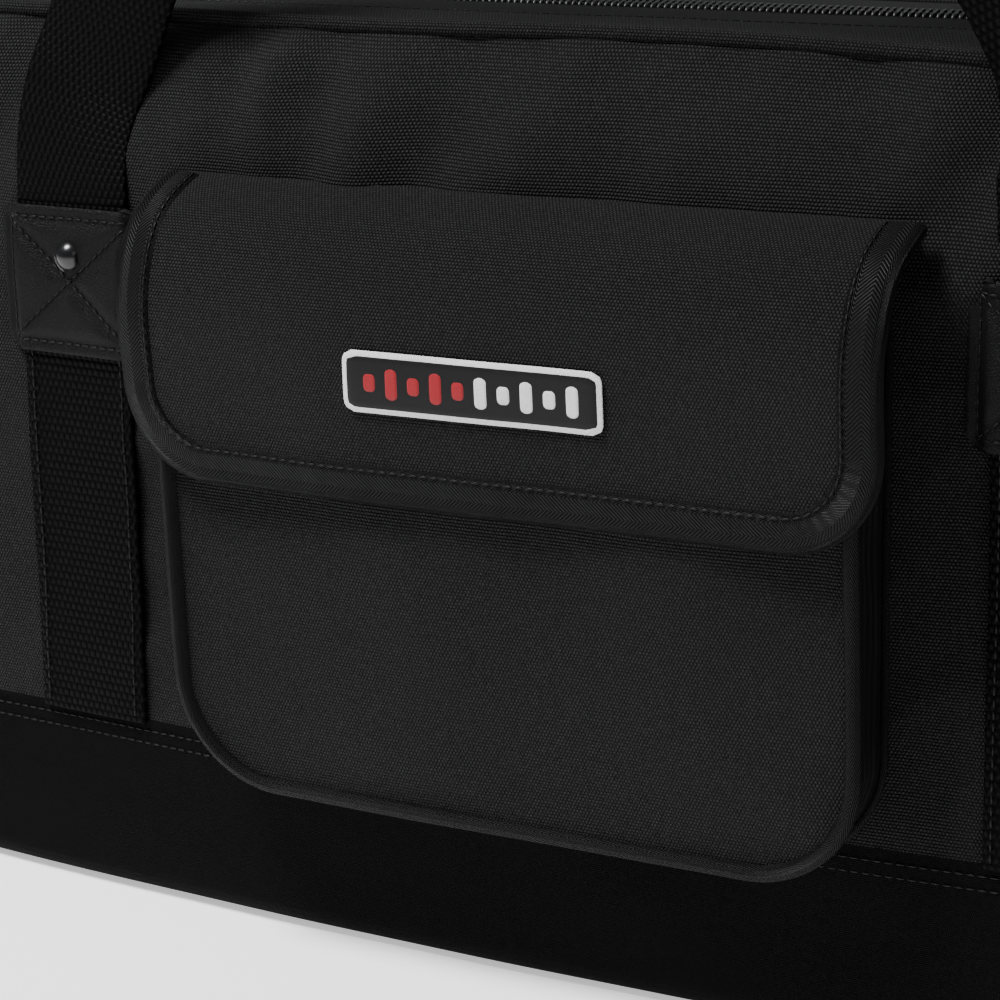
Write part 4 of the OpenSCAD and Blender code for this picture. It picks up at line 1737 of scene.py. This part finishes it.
        piece = Bench.cloth(
            "flap_edge_tape", (260, 16), place, (line.length, 2.4 * reach), wrap=True
        )
        Bench.dress(piece, self.looks.tape, "edge_tape", "flap")
        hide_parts("flap_binding")
        inner = self.binding_line(reach - 1.6 * MM)
        row = []
        for i in range(161):
            p, _ = inner.at(inner.length * i / 160)
            row.append(self.flap_point(p.x, p.y, 0.75 * MM))
        sewn = Bench.stitches("flap_stitches", [row], lambda p: Vector((0, -1, 0.15)))
        Bench.dress(sewn, self.looks.thread, "edge_tape", "flap")

    def label(self) -> None:
        """A small woven label: pale border, dark ground and a plain striped motif."""
        low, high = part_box("flap_label")
        mid, w, h = (low.z + high.z) / 2, 75 * MM, 16.5 * MM
        x0 = 0.0
        run0 = self.drape.length - (mid - self.flap_low)

        def patch(
            title: str, cx: float, cz: float, pw: float, ph: float, r: float, lift: float
        ) -> bpy.types.Object:
            def place(a: float, b: float) -> Vector:
                z = (b - 0.5) * ph
                near = ph / 2 - abs(z)
                half = pw / 2
                if near < r:
                    half = pw / 2 - r + math.sqrt(max(0.0, r * r - (r - near) ** 2))
                x = cx + (a * 2 - 1) * half
                edge = 0.25 * MM * ease(min(near, half - abs(x - cx)) / (0.8 * MM))
                return self.flap_point(x0 + x, run0 - cz - z, lift + edge)

            piece = Bench.cloth(title, (40, 14), place, (pw, ph), Vector((0, -1, 0)))
            Bench.thicken(piece, 0.6 * MM)
            return piece

        rim = patch("label_rim", 0, 0, w, h, 3 * MM, 0.75 * MM)
        Bench.dress(rim, self.looks.border, "label", "flap")
        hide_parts("flap_label")
        ground = patch("label_field", 0, 0, w - 2.6 * MM, h - 2.6 * MM, 2.0 * MM, 0.95 * MM)
        Bench.dress(ground, self.looks.ground, "label", "flap")
        bars = []
        for k in range(10):
            x = (k - 4.5) * 6.5 * MM
            tall = (8.4 if k % 2 else 5.0) * MM
            bars.append(patch(f"label_bar_{k}", x, 0, 3.9 * MM, tall, 1.5 * MM, 1.15 * MM))
        pale = Bench.join(bars[5:], "label_bars_pale")
        Bench.dress(pale, self.looks.border, "label", "flap")
        red = Bench.join(bars[:5], "label_bars_red")
        Bench.dress(red, self.looks.accent, "label", "flap")

    def fasteners(self) -> None:
        """Hook tape under the flap and loop tape on the pocket."""
        for node, title, body in (
            ("flap_hook_tape", "hook_tape", "flap"),
            ("pocket_loop_tape", "loop_tape", "bag"),
        ):
            low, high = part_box(node)
            Bench.clear()
            bpy.ops.mesh.primitive_cube_add(size=1, location=(low + high) / 2)
            piece = bpy.context.object
            piece.scale = high - low
            Bench.settle(piece)
            Bench.apply(piece, "BEVEL", width=0.35 * MM, segments=2)
            Bench.name(piece, title)
            Bench.smooth(piece, 40)
            Bench.dress(piece, self.looks.hook, "hook_and_loop", body)
            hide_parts(node)


@dataclass
class EndRings:
    """The D-ring and its webbing tab on each end."""

    shape: BagShape
    looks: Finishes

    def build(self) -> None:
        """Dresses both ends."""
        for hand in Hand:
            name = hand.name.lower()
            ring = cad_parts[f"ring_{name}"]
            ring.data.materials.clear()
            ring.data.materials.append(self.looks.metal)
            self.tab(hand)

    def tab(self, hand: Hand) -> None:
        """Webbing folded round the ring's bar and sewn flat below it."""
        name = hand.name.lower()
        low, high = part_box(f"ring_tab_{name}")
        bar, half = 214 * MM, (high.y - low.y) / 2
        foot = self.shape.half + 2.6 * MM
        axis = self.shape.half + 6.5 * MM
        r = 3.3 * MM
        arc = [(axis + r * math.sin(t), bar + r * math.cos(t)) for t in [math.pi * i / 8 for i in range(9)]]
        path = Profile(
            [(foot, low.z), (foot, bar - 14 * MM), (foot + 0.4 * MM, bar - 7 * MM)]
            + list(reversed(arc))
            + [(foot, bar + 7 * MM), (foot, high.z)],
            2,
        )

        def place(a: float, b: float) -> Vector:
            p, _ = path.at(a * path.length)
            return Vector((hand.value * p.x, (b * 2 - 1) * half, p.y))

        piece = Bench.cloth(f"tab_web_{name}", (70, 14), place, (path.length, half * 2))
        FlapPocket.face_out(piece, Vector((hand.value * (self.shape.half - 30 * MM), 0, bar)))
        Bench.thicken(piece, 1.4 * MM)
        Bench.dress(piece, self.looks.webbing, "webbing", "bag")
        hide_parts(f"ring_tab_{name}")
        x = hand.value * (foot + 0.2 * MM)
        z0, z1 = low.z + 3 * MM, bar - 9 * MM
        box = [(-half + 3 * MM, z0), (half - 3 * MM, z0), (half - 3 * MM, z1), (-half + 3 * MM, z1)]
        ring = [Vector((x, y, z)) for y, z in box + [box[0]]]
        cross = [[ring[0], ring[2]], [ring[1], ring[3]]]
        sewn = Bench.stitches(
            f"tab_stitches_{name}", [ring, *cross], lambda p: Vector((hand.value, 0, 0))
        )
        Bench.dress(sewn, self.looks.thread, "webbing", "bag")


# ---------------------------------------------------------------- studio


@dataclass(frozen=True)
class Softbox:
    """One square lamp: where it stands, where it looks, its side and its watts."""

    at: tuple[float, float, float]
    aim: tuple[float, float, float]
    size: float
    power: float


@dataclass
class Studio:
    """Camera, pale floor and soft lights."""

    yaw: float = 30.5
    pitch: float = 16.8
    roll: float = -2.6
    focal: float = 3.19
    target: Vector = field(default_factory=lambda: Vector((8, -96.5, 143.7)) * MM)
    distance: float = 0.8093

    def camera(self) -> None:
        """Stands the camera to the right of the bag's front, looking down and left."""
        psi, tilt, roll = (math.radians(v) for v in (self.yaw, self.pitch, self.roll))
        ahead = Vector(
            (-math.sin(psi) * math.cos(tilt), math.cos(psi) * math.cos(tilt), -math.sin(tilt))
        )
        right = Vector((math.cos(psi), math.sin(psi), 0))
        up = right.cross(ahead)
        right, up = (
            right * math.cos(roll) + up * math.sin(roll),
            up * math.cos(roll) - right * math.sin(roll),
        )
        Bench.clear()
        bpy.ops.object.camera_add()
        camera = bpy.context.object
        camera.name = "studio_camera"
        turn = Matrix((right, up, -ahead)).transposed()
        camera.matrix_world = Matrix.Translation(self.target - ahead * self.distance) @ turn.to_4x4()
        camera.data.sensor_width = 36
        camera.data.lens = 36 * self.focal
        camera.data.clip_start = 0.01
        bpy.context.scene.camera = camera

    def room(self) -> None:
        """Adds the floor, the sky light and three soft lights."""
        Bench.clear()
        bpy.ops.mesh.primitive_plane_add(size=8, location=(0, 0, -0.0005))
        floor = Bench.name(bpy.context.object, "studio_floor")
        g = Graph("pale_floor")
        tone = g.grain(3.0, 3.0)
        pale = g.finish(g.tint(tone, (0.90, 0.90, 0.90), (0.94, 0.94, 0.94)), 0.8)
        shader = next(n for n in pale.node_tree.nodes if n.bl_idname == "ShaderNodeBsdfPrincipled")
        shader.inputs["Emission Color"].default_value = (1, 1, 1, 1)
        shader.inputs["Emission Strength"].default_value = 0.6
        floor.data.materials.append(pale)
        world = bpy.context.scene.world or bpy.data.worlds.new("studio")
        bpy.context.scene.world = world
        world.use_nodes = True
        world.node_tree.nodes["Background"].inputs[0].default_value = (0.9, 0.93, 1.0, 1)
        world.node_tree.nodes["Background"].inputs[1].default_value = 0.18
        for box in (
            Softbox((-0.50, -0.50, 1.45), (0, -0.05, 0.2), 0.45, 52),
            Softbox((1.9, -1.3, 1.2), (0, -0.05, 0.15), 1.2, 5),
            Softbox((0.5, 1.7, 1.5), (0, 0, 0.12), 1.2, 20),
        ):
            Bench.clear()
            bpy.ops.object.light_add(type="AREA", location=box.at)
            lamp = bpy.context.object
            lamp.data.size = box.size
            lamp.data.energy = box.power
            way = Vector(box.aim) - Vector(box.at)
            lamp.rotation_euler = way.to_track_quat("-Z", "Y").to_euler()


def main() -> None:
    """Builds every sub-assembly in order."""
    shape = BagShape()
    looks = Finishes()
    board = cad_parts["bottom_board"]
    board.data.materials.clear()
    board.data.materials.append(looks.board)
    Walls(shape, looks).build()
    TopEdge(shape, looks).build()
    for side in Side:
        CarryWebbing(shape, looks, side).build()
    FlapPocket(shape, looks).build()
    EndRings(shape, looks).build()
    Studio().room()


logging.basicConfig(level=logging.INFO, format="%(message)s")
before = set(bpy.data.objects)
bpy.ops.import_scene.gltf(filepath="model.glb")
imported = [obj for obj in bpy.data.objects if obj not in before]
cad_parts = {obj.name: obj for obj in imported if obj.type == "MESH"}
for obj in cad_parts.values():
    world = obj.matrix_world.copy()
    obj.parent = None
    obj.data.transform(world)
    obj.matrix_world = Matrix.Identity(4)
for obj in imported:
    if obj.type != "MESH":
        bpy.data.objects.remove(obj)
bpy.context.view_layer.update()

if __name__ == "__main__":
    Studio().camera()
    main()
